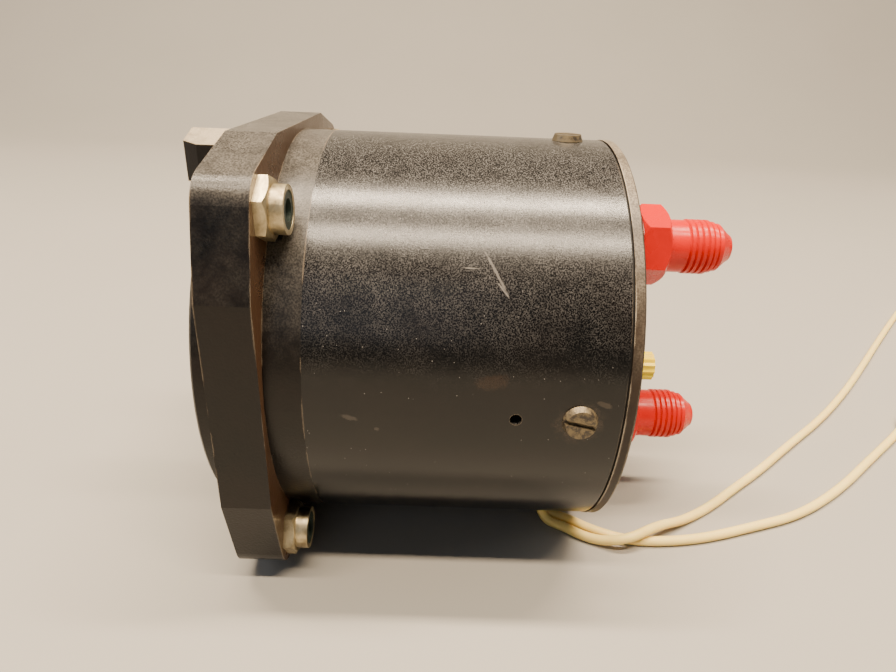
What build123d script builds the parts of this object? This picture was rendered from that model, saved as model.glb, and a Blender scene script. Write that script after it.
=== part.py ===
from build123d import *
from math import acos, atan2, cos, degrees, hypot, pi, radians, sin, tan
import os

os.makedirs("parts", exist_ok=True)

# Millimetres. The origin is the centre of the flange's front face. +Y is the
# rear, -Y the dial side, +Z up. Names that end in _y are depths along Y.

# flange, a square with tapered sides and round corners, round the case
case_radius = 79.375 / 2
case_wall = 1.0
clearance = 0.05
flange_overhang = 1.5875
flange_half = case_radius + flange_overhang
flange_flat_half = flange_half - 22.375
flange_taper = 15.0
flange_thick = 8.7
corner_radius = 6.27
nut_across_flats = 9.3
bolt_circle = 2 * case_radius + 9.525
bolt_offset = bolt_circle / 2 * cos(radians(45))
panel_screw_radius = 1.8
nut_relief_radius = 5.75
nut_spigot_radius = 3.0
nut_spigot_length = 2.5
collar_end_y = 14.9
lap_end_y = 18.0
lap_radius = case_radius - case_wall - clearance
lap_wall = 1.34
flange_bore = lap_radius - lap_wall
dial_seat_y = 6.5
glass_seat_y = 2.2

# ring, glass and dial
ring_radius = case_radius - 0.2875
ring_proud = 3.0
ring_seat_y = 0.4
ring_spigot_y = 1.4
ring_spigot_radius = ring_radius - 1.8
ring_slope = 1.6
glass_radius = ring_spigot_radius - 1.4
glass_thick = 2.0
gasket_thick = 0.8
glass_rear_y = glass_seat_y - gasket_thick
glass_front_y = glass_rear_y - glass_thick
glass_hold = 2.2
window_radius = glass_radius - glass_hold
dial_radius = flange_bore - 0.3
dial_thick = 0.8
dial_rear_y = dial_seat_y + dial_thick

# case and back plate
case_end_y = 67.5
seal_thick = 0.4
plate_y = case_end_y + seal_thick
plate_thick = 1.83
plate_rear_y = plate_y + plate_thick
plate_radius = case_radius + 0.1125
seal_radius = plate_radius - 0.5
plate_edge = 0.3
skirt_wall = 2.0
skirt_front_y = 56.5
vent_hole_y = 49.9
vent_hole_radius = 1.0
case_screw_y = 60.5
case_screw_head_radius = 3.0
case_screw_head_height = 1.2
case_screw_radius = 1.5
case_screw_end_radius = lap_radius - skirt_wall - 0.8
slot_width = 0.8
slot_depth = 0.7
slot_turn = -12.0

# lamp hood
hood_half = 6.5
hood_ridge_z = ring_radius - clearance
hood_eaves_z = hood_ridge_z - 2.25
hood_bottom_z = window_radius - 4.0
hood_front_y = -ring_proud - 9.8
hood_chamfer_y = 2.8
hood_chamfer_x = 1.3
hood_wall = 1.0
hood_rear_wall_z = window_radius - 0.2
lamp_z = window_radius + 1.9
lamp_radius = 1.5
lamp_bulb_radius = 1.3
lamp_end_y = -8.2

# captive nuts with fibre inserts
nut_hex_thick = 2.0
nut_hex_end_y = flange_thick + nut_hex_thick
nut_end_y = nut_hex_end_y + 2.2
nut_collar_radius = 3.9
nut_chamfer = 0.6
nut_turns = (20.0, 55.0, -5.0, 24.0)
insert_radius = 3.1
insert_depth = 1.2

# ports and red caps
port_x = 2.6
port_z = 20.0
nipple_hex_flats = 12.7
nipple_hex_end_y = plate_rear_y + 3.4
nipple_collar_radius = 5.4
nipple_collar_end_y = nipple_hex_end_y + 2.5
nipple_radius = 4.76
nipple_bore = 1.6
nipple_end_y = nipple_collar_end_y + 12.9
nipple_lead = 0.7
nipple_shank_radius = 4.0
nipple_spigot_radius = 3.0
nipple_spigot_y = plate_y - 5.9
cap_start_y = nipple_collar_end_y + 0.4
cap_hex_flats = 14.29
cap_hex_end_y = cap_start_y + 5.5
cap_neck_end_y = cap_hex_end_y + 4.2
cap_ribs_end_y = cap_neck_end_y + 7.1
cap_tip_y = cap_ribs_end_y + 2.9
cap_clearance = 0.08
cap_radius = nipple_radius + cap_clearance + 0.71
cap_neck_radius = cap_radius - 0.2
cap_groove_depth = 0.4
cap_last_ribs_step = 0.35
cap_hex_chamfer = 0.9
cap_tip_radius = 2.7
cap_ribs = 6
cap_hex_turn = 40.0
cap_bore_end_y = nipple_end_y + 1.5

# yellow cap on its stub
stub_x = case_radius - 9.6875
stub_z = 6.0
stub_radius = 1.3
stub_end_y = plate_rear_y + 2.87
yellow_cap_y = plate_rear_y + 0.22
yellow_cap_radius = 2.5
yellow_cap_groove = 0.25
yellow_cap_end_y = stub_end_y + 1.4
yellow_cap_ribs = 14

# Movement. Each Bourdon tube swings a toothed sector through a link, and the
# sector turns the pinion that carries a pointer. The right half is modelled
# and the left half is its mirror image.
module = 0.4
pinion_teeth = 12
sector_teeth_full = 60
sector_first_tooth = -2
sector_last_tooth = 6
pressure_angle = 20.0
backlash = 0.10
pinion_addendum = module
sector_addendum = 0.7 * module
tooth_foot_gap = 0.15
pinion_x = 9.0
gear_line = -45.0
pointer_sweep = 120.0
pointer_rest = -60.0
sector_swing = pointer_sweep * pinion_teeth / sector_teeth_full
tail_length = 7.0
tail_middle = -30.0
link_length = 8.0
tube_swing_radius = 24.0
tube_turn = 230.0

front_plate_y = 12.0
movement_plate_thick = 1.2
gear_y = 16.0
gear_thick = 1.2
pinion_front_y = 15.6
pinion_rear_y = 17.6
link_y = 17.5
link_thick = 0.8
link_half_width = 1.3
collet_y = 19.8
collet_end_y = 21.0
collet_radius = 1.4
spring_y = 20.0
spring_width = 0.8
spring_thick = 0.2
spring_inner = 1.6
spring_outer = 3.8
spring_turns = 2
rear_plate_y = 22.4
rear_plate_end_y = rear_plate_y + movement_plate_thick
shaft_radius = 0.8
shaft_end_y = 24.2
sector_hub_radius = 2.2
sector_hub_y = 15.0
sector_hub_end_y = 18.2
pin_radius = 0.5
pin_end_y = 18.7
tail_pin_clearance = 0.25
tube_front_y = 26.0
tube_width = 7.0
tube_thick = 2.6
tube_wall = 0.4
tube_edge = 0.7
tube_plug = 1.6
pointer_y = 3.8
pointer_thick = 0.6
pointer_length = 23.0
pointer_tail = 5.5
pointer_half_width = 1.1
pointer_tip_half = 0.2
hub_y = 3.2
hub_end_y = 5.2
hub_radius = 2.0
dial_hole_radius = 2.4

movement_half = 22.0
movement_top_z = 22.5
movement_bottom_z = -27.0
movement_corner = 3.0
post_edge = 3.5
post_x = movement_half - post_edge
post_top_z = movement_top_z - post_edge
post_bottom_z = movement_bottom_z + post_edge
post_radius = 2.0
pillar_radius = 1.8
stub_screw_radius = 1.1
stub_screw_y = 20.4
dial_post_top_z = 17.0
dial_post_bottom_z = -21.0
dial_screw_head = 1.5
dial_screw_shank = 0.8
dial_screw_y = 5.7
socket_y = 37.0
socket_arm_end_y = 44.0
socket_stem_radius = 4.5
socket_arm_half = 3.5
socket_length = 7.0
socket_depth = 6.0
socket_bore_y = 46.0

# wires, their rubber ring and their coils
wire_diameter = 2.1
floor_z = -flange_half
wire_z = floor_z + wire_diameter / 2
wire_start_radius = lap_radius - skirt_wall + 0.26
wire_a_angle = -68.3
wire_b_angle = -71.7
grommet_angle = -70.0
grommet_bore = 2.3
grommet_radius = 3.2
grommet_lip_radius = 4.3
grommet_lip_thick = 0.8
coil_radius = 11.5
coil_b_height = 2 * wire_diameter


def at_depth(y):
    # a plane seen from the dial side, X to the right and Z up
    return Plane.XZ.offset(-y)


def at_point(x, y, z, turn=0):
    # the same, with its origin at a point and its X axis turned up by an angle
    direction = (cos(radians(turn)), 0, sin(radians(turn)))
    return Plane(origin=(x, y, z), x_dir=direction, z_dir=(0, -1, 0))


def radial(radius, angle, y, turn=0):
    # a plane that faces outwards from the case, with its X axis along the case
    outwards = Vector(cos(radians(angle)), 0, sin(radians(angle)))
    along = Vector(0, 1, 0).rotate(Axis((0, 0, 0), outwards), turn)
    return Plane(origin=outwards * radius + Vector(0, y, 0), x_dir=along, z_dir=outwards)


def polar(start, length, angle):
    return (start[0] + length * cos(radians(angle)), start[1] + length * sin(radians(angle)))


def angle_of(start, end):
    return degrees(atan2(end[1] - start[1], end[0] - start[0]))


def involute(angle):
    return tan(angle) - angle


def tooth_points(teeth, addendum, foot_radius, middle, centre):
    # one tooth as points round its outline, its middle at an angle in degrees
    pitch = module * teeth / 2
    base = pitch * cos(radians(pressure_angle))
    half = (pi * module - backlash) / 4 / pitch + involute(radians(pressure_angle))
    flank = []
    for step in range(4):
        radius = max(base, foot_radius) + (pitch + addendum - max(base, foot_radius)) * step / 3
        flank.append((radius, half - involute(acos(min(1, base / radius)))))
    if foot_radius < base:
        flank.insert(0, (foot_radius, half))
    points = [polar(centre, radius, middle - degrees(angle)) for radius, angle in flank]
    points += [polar(centre, radius, middle + degrees(angle)) for radius, angle in reversed(flank)]
    return points


# places of the right half of the movement, as X and Z
pinion_at = (pinion_x, 0.0)
gear_distance = module * (pinion_teeth + sector_teeth_full) / 2
sector_at = polar(pinion_at, gear_distance, gear_line)
tail_rest = tail_middle + sector_swing / 2
tail_at = polar(sector_at, tail_length, tail_rest)
tail_travel = 2 * tail_length * sin(radians(sector_swing / 2))
tube_swing = degrees(tail_travel / tube_swing_radius)
tube_pin_middle = polar(polar(sector_at, tail_length, tail_middle), link_length, tail_middle + 90)
tube_root = polar(tube_pin_middle, -tube_swing_radius, tail_middle)
tube_rest = tail_middle + tube_swing / 2
tube_pin_at = polar(tube_root, tube_swing_radius, tube_rest)
tube_radius = tube_swing_radius / 2 / sin(radians(tube_turn / 2))
tube_middle = polar(tube_root, tube_swing_radius / 2, tube_rest)
tube_centre = polar(tube_middle, tube_radius * cos(radians(tube_turn / 2)), tube_rest + 90)
root_angle = angle_of(tube_centre, tube_root)
tip_angle = angle_of(tube_centre, tube_pin_at)
socket_at = polar(tube_root, socket_length / 2, root_angle - 90)
print("sector at", sector_at, "tail at", tail_at)
print("tube root", tube_root, "tube pin", tube_pin_at, "tube centre", tube_centre, tube_radius)
print("sector swing", sector_swing, "tube swing", tube_swing)
print("link length at rest", hypot(tail_at[0] - tube_pin_at[0], tail_at[1] - tube_pin_at[1]))

taper_slope = tan(radians(flange_taper))
corner = (flange_half + flange_flat_half * taper_slope) / (1 + taper_slope)
quarter_outline = ((flange_half, -flange_flat_half), (flange_half, flange_flat_half), (corner, corner))
outline = []
for quarter in range(4):
    for x, z in quarter_outline:
        outline.append(polar((0, 0), hypot(x, z), angle_of((0, 0), (x, z)) + 90 * quarter))
bolt_points = [(x, z) for x in (-bolt_offset, bolt_offset) for z in (-bolt_offset, bolt_offset)]
post_points = [(x, z) for x in (-post_x, post_x) for z in (post_bottom_z, post_top_z)]
screw_angles = (0, 90, 180, 270)
skirt_bore = lap_radius - skirt_wall
through = 20.0

with BuildPart() as bezel_flange:
    with BuildSketch(at_depth(flange_thick)) as square:
        with BuildLine():
            Polyline(*outline, close=True)
        make_face()
        fillet(square.vertices().sort_by(SortBy.DISTANCE)[-4:], corner_radius)
    extrude(amount=flange_thick)
    with BuildSketch(at_depth(collar_end_y)):
        Circle(case_radius)
    extrude(amount=collar_end_y - flange_thick)
    with BuildSketch(at_depth(lap_end_y)):
        Circle(lap_radius)
    extrude(amount=lap_end_y - collar_end_y)
    with BuildSketch(at_depth(lap_end_y)):
        Circle(flange_bore)
    extrude(amount=lap_end_y - dial_seat_y, mode=Mode.SUBTRACT)
    with BuildSketch(at_depth(dial_seat_y)):
        Circle(window_radius)
    extrude(amount=dial_seat_y, mode=Mode.SUBTRACT)
    with BuildSketch(at_depth(ring_seat_y)):
        Circle(ring_radius + clearance)
    extrude(amount=ring_seat_y, mode=Mode.SUBTRACT)
    with BuildSketch(at_depth(glass_seat_y)):
        Circle(ring_spigot_radius + clearance)
    extrude(amount=glass_seat_y, mode=Mode.SUBTRACT)
    for x, z in bolt_points:
        with BuildSketch(at_point(x, flange_thick, z)):
            Circle(panel_screw_radius)
        extrude(amount=flange_thick, mode=Mode.SUBTRACT)
        with BuildSketch(at_point(x, flange_thick, z)):
            Circle(nut_spigot_radius + clearance)
        extrude(amount=nut_spigot_length + clearance, mode=Mode.SUBTRACT)
        with BuildSketch(at_point(x, nut_hex_end_y + 0.4, z)):
            Circle(nut_relief_radius)
        extrude(amount=nut_hex_thick + 0.4, mode=Mode.SUBTRACT)
bezel_flange.part.label = "bezel_flange"
export_step(bezel_flange.part, "parts/bezel_flange.step")

with BuildPart() as bezel_ring:
    with BuildSketch(Plane.XY):
        with BuildLine():
            Polyline(
                (window_radius, glass_front_y),
                (window_radius, ring_slope - ring_proud),
                (window_radius + ring_slope, -ring_proud),
                (ring_radius - 0.4, -ring_proud),
                (ring_radius, 0.4 - ring_proud),
                (ring_radius, 0),
                (ring_radius - 0.4, 0),
                (ring_radius - 0.4, ring_seat_y),
                (ring_spigot_radius, ring_seat_y),
                (ring_spigot_radius, ring_spigot_y),
                (glass_radius + clearance, ring_spigot_y),
                (glass_radius + clearance, glass_front_y),
                close=True,
            )
        make_face()
    revolve(axis=Axis.Y)
    with BuildSketch(at_point(0, -ring_proud, lamp_z)):
        Circle(lamp_radius + clearance)
    extrude(amount=-1.6, mode=Mode.SUBTRACT)
bezel_ring.part.label = "bezel_ring"
export_step(bezel_ring.part, "parts/bezel_ring.step")

with BuildPart() as cover_glass:
    with BuildSketch(at_depth(glass_rear_y)):
        Circle(glass_radius)
    extrude(amount=glass_thick)
cover_glass.part.label = "cover_glass"
export_step(cover_glass.part, "parts/cover_glass.step")

with BuildPart() as glass_gasket:
    with BuildSketch(at_depth(glass_seat_y)):
        Circle(glass_radius)
        Circle(window_radius, mode=Mode.SUBTRACT)
    extrude(amount=gasket_thick)
glass_gasket.part.label = "glass_gasket"
export_step(glass_gasket.part, "parts/glass_gasket.step")

with BuildPart() as dial:
    with BuildSketch(at_depth(dial_rear_y)):
        Circle(dial_radius)
        with Locations((-pinion_x, 0), (pinion_x, 0)):
            Circle(dial_hole_radius, mode=Mode.SUBTRACT)
        with Locations((0, dial_post_top_z), (0, dial_post_bottom_z)):
            Circle(dial_screw_shank + clearance, mode=Mode.SUBTRACT)
    extrude(amount=dial_thick)
dial.part.label = "dial"
export_step(dial.part, "parts/dial.step")

with BuildPart() as dial_posts:
    with BuildSketch(at_depth(front_plate_y)):
        with Locations((0, dial_post_top_z), (0, dial_post_bottom_z)):
            Circle(pillar_radius)
            Circle(dial_screw_shank + clearance, mode=Mode.SUBTRACT)
    extrude(amount=front_plate_y - dial_rear_y)
dial_posts.part.label = "dial_posts"
export_step(dial_posts.part, "parts/dial_posts.step")

with BuildPart() as dial_screws:
    for z in (dial_post_bottom_z, dial_post_top_z):
        with BuildSketch(at_point(0, dial_seat_y, z)):
            Circle(dial_screw_head)
        extrude(amount=dial_seat_y - dial_screw_y)
        with BuildSketch(at_point(0, front_plate_y - 1, z)):
            Circle(dial_screw_shank)
        extrude(amount=front_plate_y - 1 - dial_seat_y)
        with BuildSketch(at_point(0, dial_screw_y, z, 90 - slot_turn)):
            Rectangle(2 * through, slot_width / 2)
        extrude(amount=-0.4, mode=Mode.SUBTRACT)
dial_screws.part.label = "dial_screws"
export_step(dial_screws.part, "parts/dial_screws.step")

with BuildPart() as lamp_hood:
    with BuildSketch(at_depth(-ring_proud)):
        with BuildLine():
            Polyline(
                (-hood_half, hood_bottom_z),
                (hood_half, hood_bottom_z),
                (hood_half, hood_eaves_z),
                (0, hood_ridge_z),
                (-hood_half, hood_eaves_z),
                close=True,
            )
        make_face()
    extrude(amount=-hood_front_y - ring_proud)
    with BuildSketch(Plane.XY.offset(hood_bottom_z)):
        with BuildLine():
            Polyline(
                (-hood_half, -ring_proud),
                (hood_half, -ring_proud),
                (hood_half, hood_front_y + hood_chamfer_y),
                (hood_half - hood_chamfer_x, hood_front_y),
                (hood_chamfer_x - hood_half, hood_front_y),
                (-hood_half, hood_front_y + hood_chamfer_y),
                close=True,
            )
        make_face()
    extrude(amount=through, mode=Mode.INTERSECT)
    with BuildSketch(at_depth(-ring_proud - hood_wall)):
        with BuildLine():
            Polyline(
                (hood_wall + 0.3 - hood_half, hood_bottom_z),
                (hood_half - hood_wall - 0.3, hood_bottom_z),
                (hood_half - hood_wall - 0.3, hood_eaves_z - 1.3 * hood_wall),
                (0, hood_ridge_z - hood_wall),
                (hood_wall + 0.3 - hood_half, hood_eaves_z - 1.3 * hood_wall),
                close=True,
            )
        make_face()
    extrude(amount=-hood_front_y - ring_proud - 2 * hood_wall, mode=Mode.SUBTRACT)
    with BuildSketch(Plane.XY.offset(hood_bottom_z)):
        with Locations((0, -ring_proud)):
            Rectangle(2 * (hood_half - hood_wall - 0.3), 3 * hood_wall)
    extrude(amount=hood_rear_wall_z - hood_bottom_z, mode=Mode.SUBTRACT)
    with BuildSketch(at_point(0, -ring_proud, lamp_z)):
        Circle(lamp_radius + clearance)
    extrude(amount=2 * hood_wall, mode=Mode.SUBTRACT)
lamp_hood.part.label = "lamp_hood"
export_step(lamp_hood.part, "parts/lamp_hood.step")

with BuildPart() as lamp:
    with BuildSketch(Plane.XY.offset(lamp_z)):
        with BuildLine():
            Polyline(
                (0, 1.55 - ring_proud),
                (lamp_radius, 1.55 - ring_proud),
                (lamp_radius, -5.4),
                (lamp_bulb_radius, -5.6),
                (lamp_bulb_radius, lamp_end_y + 0.9),
                (0.8, lamp_end_y + 0.25),
                (0, lamp_end_y),
                close=True,
            )
        make_face()
    revolve(axis=Axis((0, 0, lamp_z), (0, 1, 0)))
lamp.part.label = "lamp"
export_step(lamp.part, "parts/lamp.step")

with BuildPart() as case_shell:
    with BuildSketch(at_depth(case_end_y)):
        Circle(case_radius)
        Circle(case_radius - case_wall, mode=Mode.SUBTRACT)
    extrude(amount=case_end_y - collar_end_y)
    with BuildSketch(radial(case_radius + 1, 0, vent_hole_y)):
        Circle(vent_hole_radius)
    extrude(amount=-3, mode=Mode.SUBTRACT)
    for angle in screw_angles:
        with BuildSketch(radial(case_radius + 1, angle, case_screw_y)):
            Circle(case_screw_radius + clearance)
        extrude(amount=-3, mode=Mode.SUBTRACT)
    with BuildSketch(radial(case_radius + 1, grommet_angle, case_screw_y)):
        Circle(grommet_radius)
    extrude(amount=-3, mode=Mode.SUBTRACT)
case_shell.part.label = "case_shell"
export_step(case_shell.part, "parts/case_shell.step")

with BuildPart() as case_screws:
    for angle in screw_angles:
        with BuildSketch(radial(case_radius, angle, case_screw_y)) as head:
            Circle(case_screw_head_radius)
        extrude(amount=case_screw_head_height, taper=20)
        with BuildSketch(radial(case_radius, angle, case_screw_y)):
            Circle(case_screw_radius)
        extrude(amount=case_screw_end_radius - case_radius)
        with BuildSketch(radial(case_radius + case_screw_head_height, angle, case_screw_y, slot_turn)):
            Rectangle(2 * case_screw_head_radius + 1, slot_width)
        extrude(amount=-slot_depth, mode=Mode.SUBTRACT)
case_screws.part.label = "case_screws"
export_step(case_screws.part, "parts/case_screws.step")

with BuildPart() as back_seal:
    with BuildSketch(at_depth(plate_y)):
        Circle(seal_radius)
        Circle(case_radius - case_wall, mode=Mode.SUBTRACT)
    extrude(amount=seal_thick)
back_seal.part.label = "back_seal"
export_step(back_seal.part, "parts/back_seal.step")

with BuildPart() as back_plate:
    with BuildSketch(at_depth(plate_rear_y)):
        Circle(plate_radius)
    extrude(amount=plate_rear_y - plate_y)
    chamfer(back_plate.edges().group_by(Axis.Y)[-1], plate_edge)
    with BuildSketch(at_depth(plate_y)):
        Circle(lap_radius)
        Circle(skirt_bore, mode=Mode.SUBTRACT)
    extrude(amount=plate_y - skirt_front_y)
    with BuildSketch(at_depth(plate_rear_y)):
        with Locations((port_x, port_z), (port_x, -port_z)):
            Circle(nipple_shank_radius + clearance)
        with Locations((stub_x, stub_z)):
            Circle(stub_radius)
    extrude(amount=plate_rear_y - plate_y, mode=Mode.SUBTRACT)
    for angle in screw_angles:
        with BuildSketch(radial(case_radius, angle, case_screw_y)):
            Circle(case_screw_radius + clearance)
        extrude(amount=-4, mode=Mode.SUBTRACT)
    with BuildSketch(radial(case_radius, grommet_angle, case_screw_y)):
        Circle(grommet_radius)
    extrude(amount=-4, mode=Mode.SUBTRACT)
back_plate.part.label = "back_plate"
export_step(back_plate.part, "parts/back_plate.step")

# a six-sided nut is a prism cut by cones, which leaves round corners on its ends
nut_flat = nut_across_flats / 2
nut_corner = nut_flat / cos(radians(30))
with BuildPart() as one_nut:
    with BuildSketch(at_depth(nut_hex_end_y)):
        RegularPolygon(nut_flat, 6, major_radius=False)
    extrude(amount=nut_hex_thick)
    with BuildSketch(Plane.XY):
        with BuildLine():
            Polyline(
                (0, flange_thick),
                (nut_corner + 0.1, flange_thick),
                (nut_corner + 0.1, nut_hex_end_y - nut_chamfer),
                (nut_flat - 0.1, nut_hex_end_y),
                (0, nut_hex_end_y),
                close=True,
            )
        make_face()
    revolve(axis=Axis.Y, mode=Mode.INTERSECT)
    with BuildSketch(at_depth(nut_end_y)):
        Circle(nut_collar_radius)
    extrude(amount=nut_end_y - nut_hex_end_y)
    with BuildSketch(at_depth(flange_thick)):
        Circle(nut_spigot_radius)
    extrude(amount=nut_spigot_length)
    with BuildSketch(at_depth(nut_end_y)):
        Circle(insert_radius)
    extrude(amount=insert_depth, mode=Mode.SUBTRACT)
    with BuildSketch(at_depth(nut_end_y)):
        Circle(panel_screw_radius)
    extrude(amount=nut_end_y - flange_thick + nut_spigot_length, mode=Mode.SUBTRACT)

with BuildPart() as mounting_nuts:
    for (x, z), turn in zip(bolt_points, nut_turns):
        add(one_nut.part.moved(Location((x, 0, z), (0, -turn, 0))))
mounting_nuts.part.label = "mounting_nuts"
export_step(mounting_nuts.part, "parts/mounting_nuts.step")

with BuildPart() as nut_inserts:
    for x, z in bolt_points:
        with BuildSketch(at_point(x, nut_end_y - 0.1, z)):
            Circle(insert_radius)
            Circle(panel_screw_radius, mode=Mode.SUBTRACT)
        extrude(amount=insert_depth - 0.1)
nut_inserts.part.label = "nut_inserts"
export_step(nut_inserts.part, "parts/nut_inserts.step")

nipple_profile = (
    (nipple_bore, nipple_spigot_y),
    (nipple_spigot_radius, nipple_spigot_y),
    (nipple_spigot_radius, plate_y),
    (nipple_shank_radius, plate_y),
    (nipple_shank_radius, plate_rear_y),
    (nipple_collar_radius, plate_rear_y),
    (nipple_collar_radius, nipple_collar_end_y),
    (nipple_radius, nipple_collar_end_y),
    (nipple_radius, nipple_end_y - nipple_lead),
    (nipple_radius - nipple_lead, nipple_end_y),
    (nipple_bore, nipple_end_y),
)

with BuildPart() as port_nipple_upper:
    with BuildSketch(Plane.XY):
        with BuildLine():
            Polyline(*nipple_profile, close=True)
        make_face()
    revolve(axis=Axis.Y)
    with BuildSketch(at_point(0, nipple_hex_end_y, 0, 90)):
        RegularPolygon(nipple_hex_flats / 2, 6, major_radius=False)
        Circle(nipple_collar_radius - 1, mode=Mode.SUBTRACT)
    extrude(amount=nipple_hex_end_y - plate_rear_y)
port_nipple_upper.part.position = (port_x, 0, port_z)
port_nipple_upper.part.label = "port_nipple_upper"
export_step(port_nipple_upper.part, "parts/port_nipple_upper.step")

with BuildPart() as port_nipple_lower:
    add(port_nipple_upper.part.moved(Location((0, 0, -2 * port_z))))
port_nipple_lower.part.label = "port_nipple_lower"
export_step(port_nipple_lower.part, "parts/port_nipple_lower.step")

# the last two ribs step in towards the nose
rib_pitch = (cap_ribs_end_y - cap_neck_end_y) / cap_ribs
cap_profile = [(0, cap_hex_end_y), (cap_neck_radius, cap_hex_end_y), (cap_neck_radius, cap_neck_end_y)]
for rib in range(cap_ribs):
    start_y = cap_neck_end_y + rib * rib_pitch
    rib_radius = cap_radius - cap_last_ribs_step * max(0, rib - cap_ribs + 3)
    cap_profile.append((rib_radius - cap_groove_depth, start_y + 0.2 * rib_pitch))
    cap_profile.append((rib_radius, start_y + 0.45 * rib_pitch))
    cap_profile.append((rib_radius, start_y + rib_pitch))
cap_profile += [
    (cap_tip_radius + 0.5, cap_tip_y - 1.1),
    (cap_tip_radius, cap_tip_y - 0.4),
    (cap_tip_radius - 0.8, cap_tip_y),
    (0, cap_tip_y),
]
cap_flat = cap_hex_flats / 2
cap_corner = cap_flat / cos(radians(30))

with BuildPart() as red_cap_upper:
    with BuildSketch(at_point(0, cap_hex_end_y, 0, cap_hex_turn)):
        RegularPolygon(cap_flat, 6, major_radius=False)
    extrude(amount=cap_hex_end_y - cap_start_y)
    with BuildSketch(Plane.XY):
        with BuildLine():
            Polyline(
                (0, cap_start_y),
                (cap_flat, cap_start_y),
                (cap_corner + 0.1, cap_start_y + cap_hex_chamfer),
                (cap_corner + 0.1, cap_hex_end_y - cap_hex_chamfer),
                (cap_flat, cap_hex_end_y),
                (0, cap_hex_end_y),
                close=True,
            )
        make_face()
    revolve(axis=Axis.Y, mode=Mode.INTERSECT)
    with BuildSketch(Plane.XY):
        with BuildLine():
            Polyline(*cap_profile, close=True)
        make_face()
    revolve(axis=Axis.Y)
    with BuildSketch(at_depth(cap_bore_end_y)):
        Circle(nipple_radius + cap_clearance)
    extrude(amount=cap_bore_end_y - cap_start_y, mode=Mode.SUBTRACT)
red_cap_upper.part.position = (port_x, 0, port_z)
red_cap_upper.part.label = "red_cap_upper"
export_step(red_cap_upper.part, "parts/red_cap_upper.step")

with BuildPart() as red_cap_lower:
    add(red_cap_upper.part.moved(Location((0, 0, -2 * port_z))))
red_cap_lower.part.label = "red_cap_lower"
export_step(red_cap_lower.part, "parts/red_cap_lower.step")

with BuildPart() as vent_nipple:
    with BuildSketch(at_point(stub_x, stub_end_y, stub_z)):
        Circle(stub_radius)
        Circle(stub_radius / 2, mode=Mode.SUBTRACT)
    extrude(amount=stub_end_y - plate_y)
vent_nipple.part.label = "vent_nipple"
export_step(vent_nipple.part, "parts/vent_nipple.step")

yellow_outline = []
for step in range(2 * yellow_cap_ribs):
    step_radius = yellow_cap_radius - yellow_cap_groove * (step % 2)
    yellow_outline.append(polar((0, 0), step_radius, 180 * step / yellow_cap_ribs))

with BuildPart() as yellow_cap:
    with BuildSketch(at_point(stub_x, yellow_cap_end_y, stub_z)):
        with BuildLine():
            Polyline(*yellow_outline, close=True)
        make_face()
    extrude(amount=yellow_cap_end_y - yellow_cap_y)
    with BuildSketch(at_point(stub_x, stub_end_y + 0.3, stub_z)):
        Circle(stub_radius + cap_clearance)
    extrude(amount=stub_end_y + 0.3 - yellow_cap_y, mode=Mode.SUBTRACT)
yellow_cap.part.label = "yellow_cap"
export_step(yellow_cap.part, "parts/yellow_cap.step")

movement_middle_z = (movement_top_z + movement_bottom_z) / 2

with BuildPart() as movement_front_plate:
    with BuildSketch(at_depth(front_plate_y + movement_plate_thick)):
        with Locations((0, movement_middle_z)):
            RectangleRounded(2 * movement_half, movement_top_z - movement_bottom_z, movement_corner)
        with Locations(pinion_at, (-pinion_x, 0), sector_at, (-sector_at[0], sector_at[1])):
            Circle(shaft_radius + clearance, mode=Mode.SUBTRACT)
    extrude(amount=movement_plate_thick)
movement_front_plate.part.label = "movement_front_plate"
export_step(movement_front_plate.part, "parts/movement_front_plate.step")

with BuildPart() as movement_rear_plate:
    with BuildSketch(at_depth(rear_plate_end_y)):
        with Locations((0, movement_middle_z)):
            RectangleRounded(2 * movement_half, movement_top_z - movement_bottom_z, movement_corner)
        with Locations(pinion_at, (-pinion_x, 0), sector_at, (-sector_at[0], sector_at[1])):
            Circle(shaft_radius + clearance, mode=Mode.SUBTRACT)
        with Locations(*post_points):
            Circle(stub_screw_radius + clearance, mode=Mode.SUBTRACT)
    extrude(amount=movement_plate_thick)
movement_rear_plate.part.label = "movement_rear_plate"
export_step(movement_rear_plate.part, "parts/movement_rear_plate.step")

with BuildPart() as movement_pillars:
    for x, z in post_points:
        with BuildSketch(at_point(x, rear_plate_y, z)):
            Circle(pillar_radius)
        extrude(amount=rear_plate_y - front_plate_y - movement_plate_thick)
        with BuildSketch(at_point(x, rear_plate_y, z)):
            Circle(stub_screw_radius + clearance)
        extrude(amount=rear_plate_y - stub_screw_y, mode=Mode.SUBTRACT)
movement_pillars.part.label = "movement_pillars"
export_step(movement_pillars.part, "parts/movement_pillars.step")

with BuildPart() as frame_posts:
    for x, z in post_points:
        with BuildSketch(at_point(x, plate_y, z)):
            Circle(post_radius)
        extrude(amount=plate_y - rear_plate_end_y)
        with BuildSketch(at_point(x, rear_plate_end_y, z)):
            Circle(stub_screw_radius)
        extrude(amount=rear_plate_end_y - stub_screw_y)
frame_posts.part.label = "frame_posts"
export_step(frame_posts.part, "parts/frame_posts.step")

# right and left sockets, each with a stem to its port, an arm and a block
socket_left_at = (-socket_at[0], socket_at[1])

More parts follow.
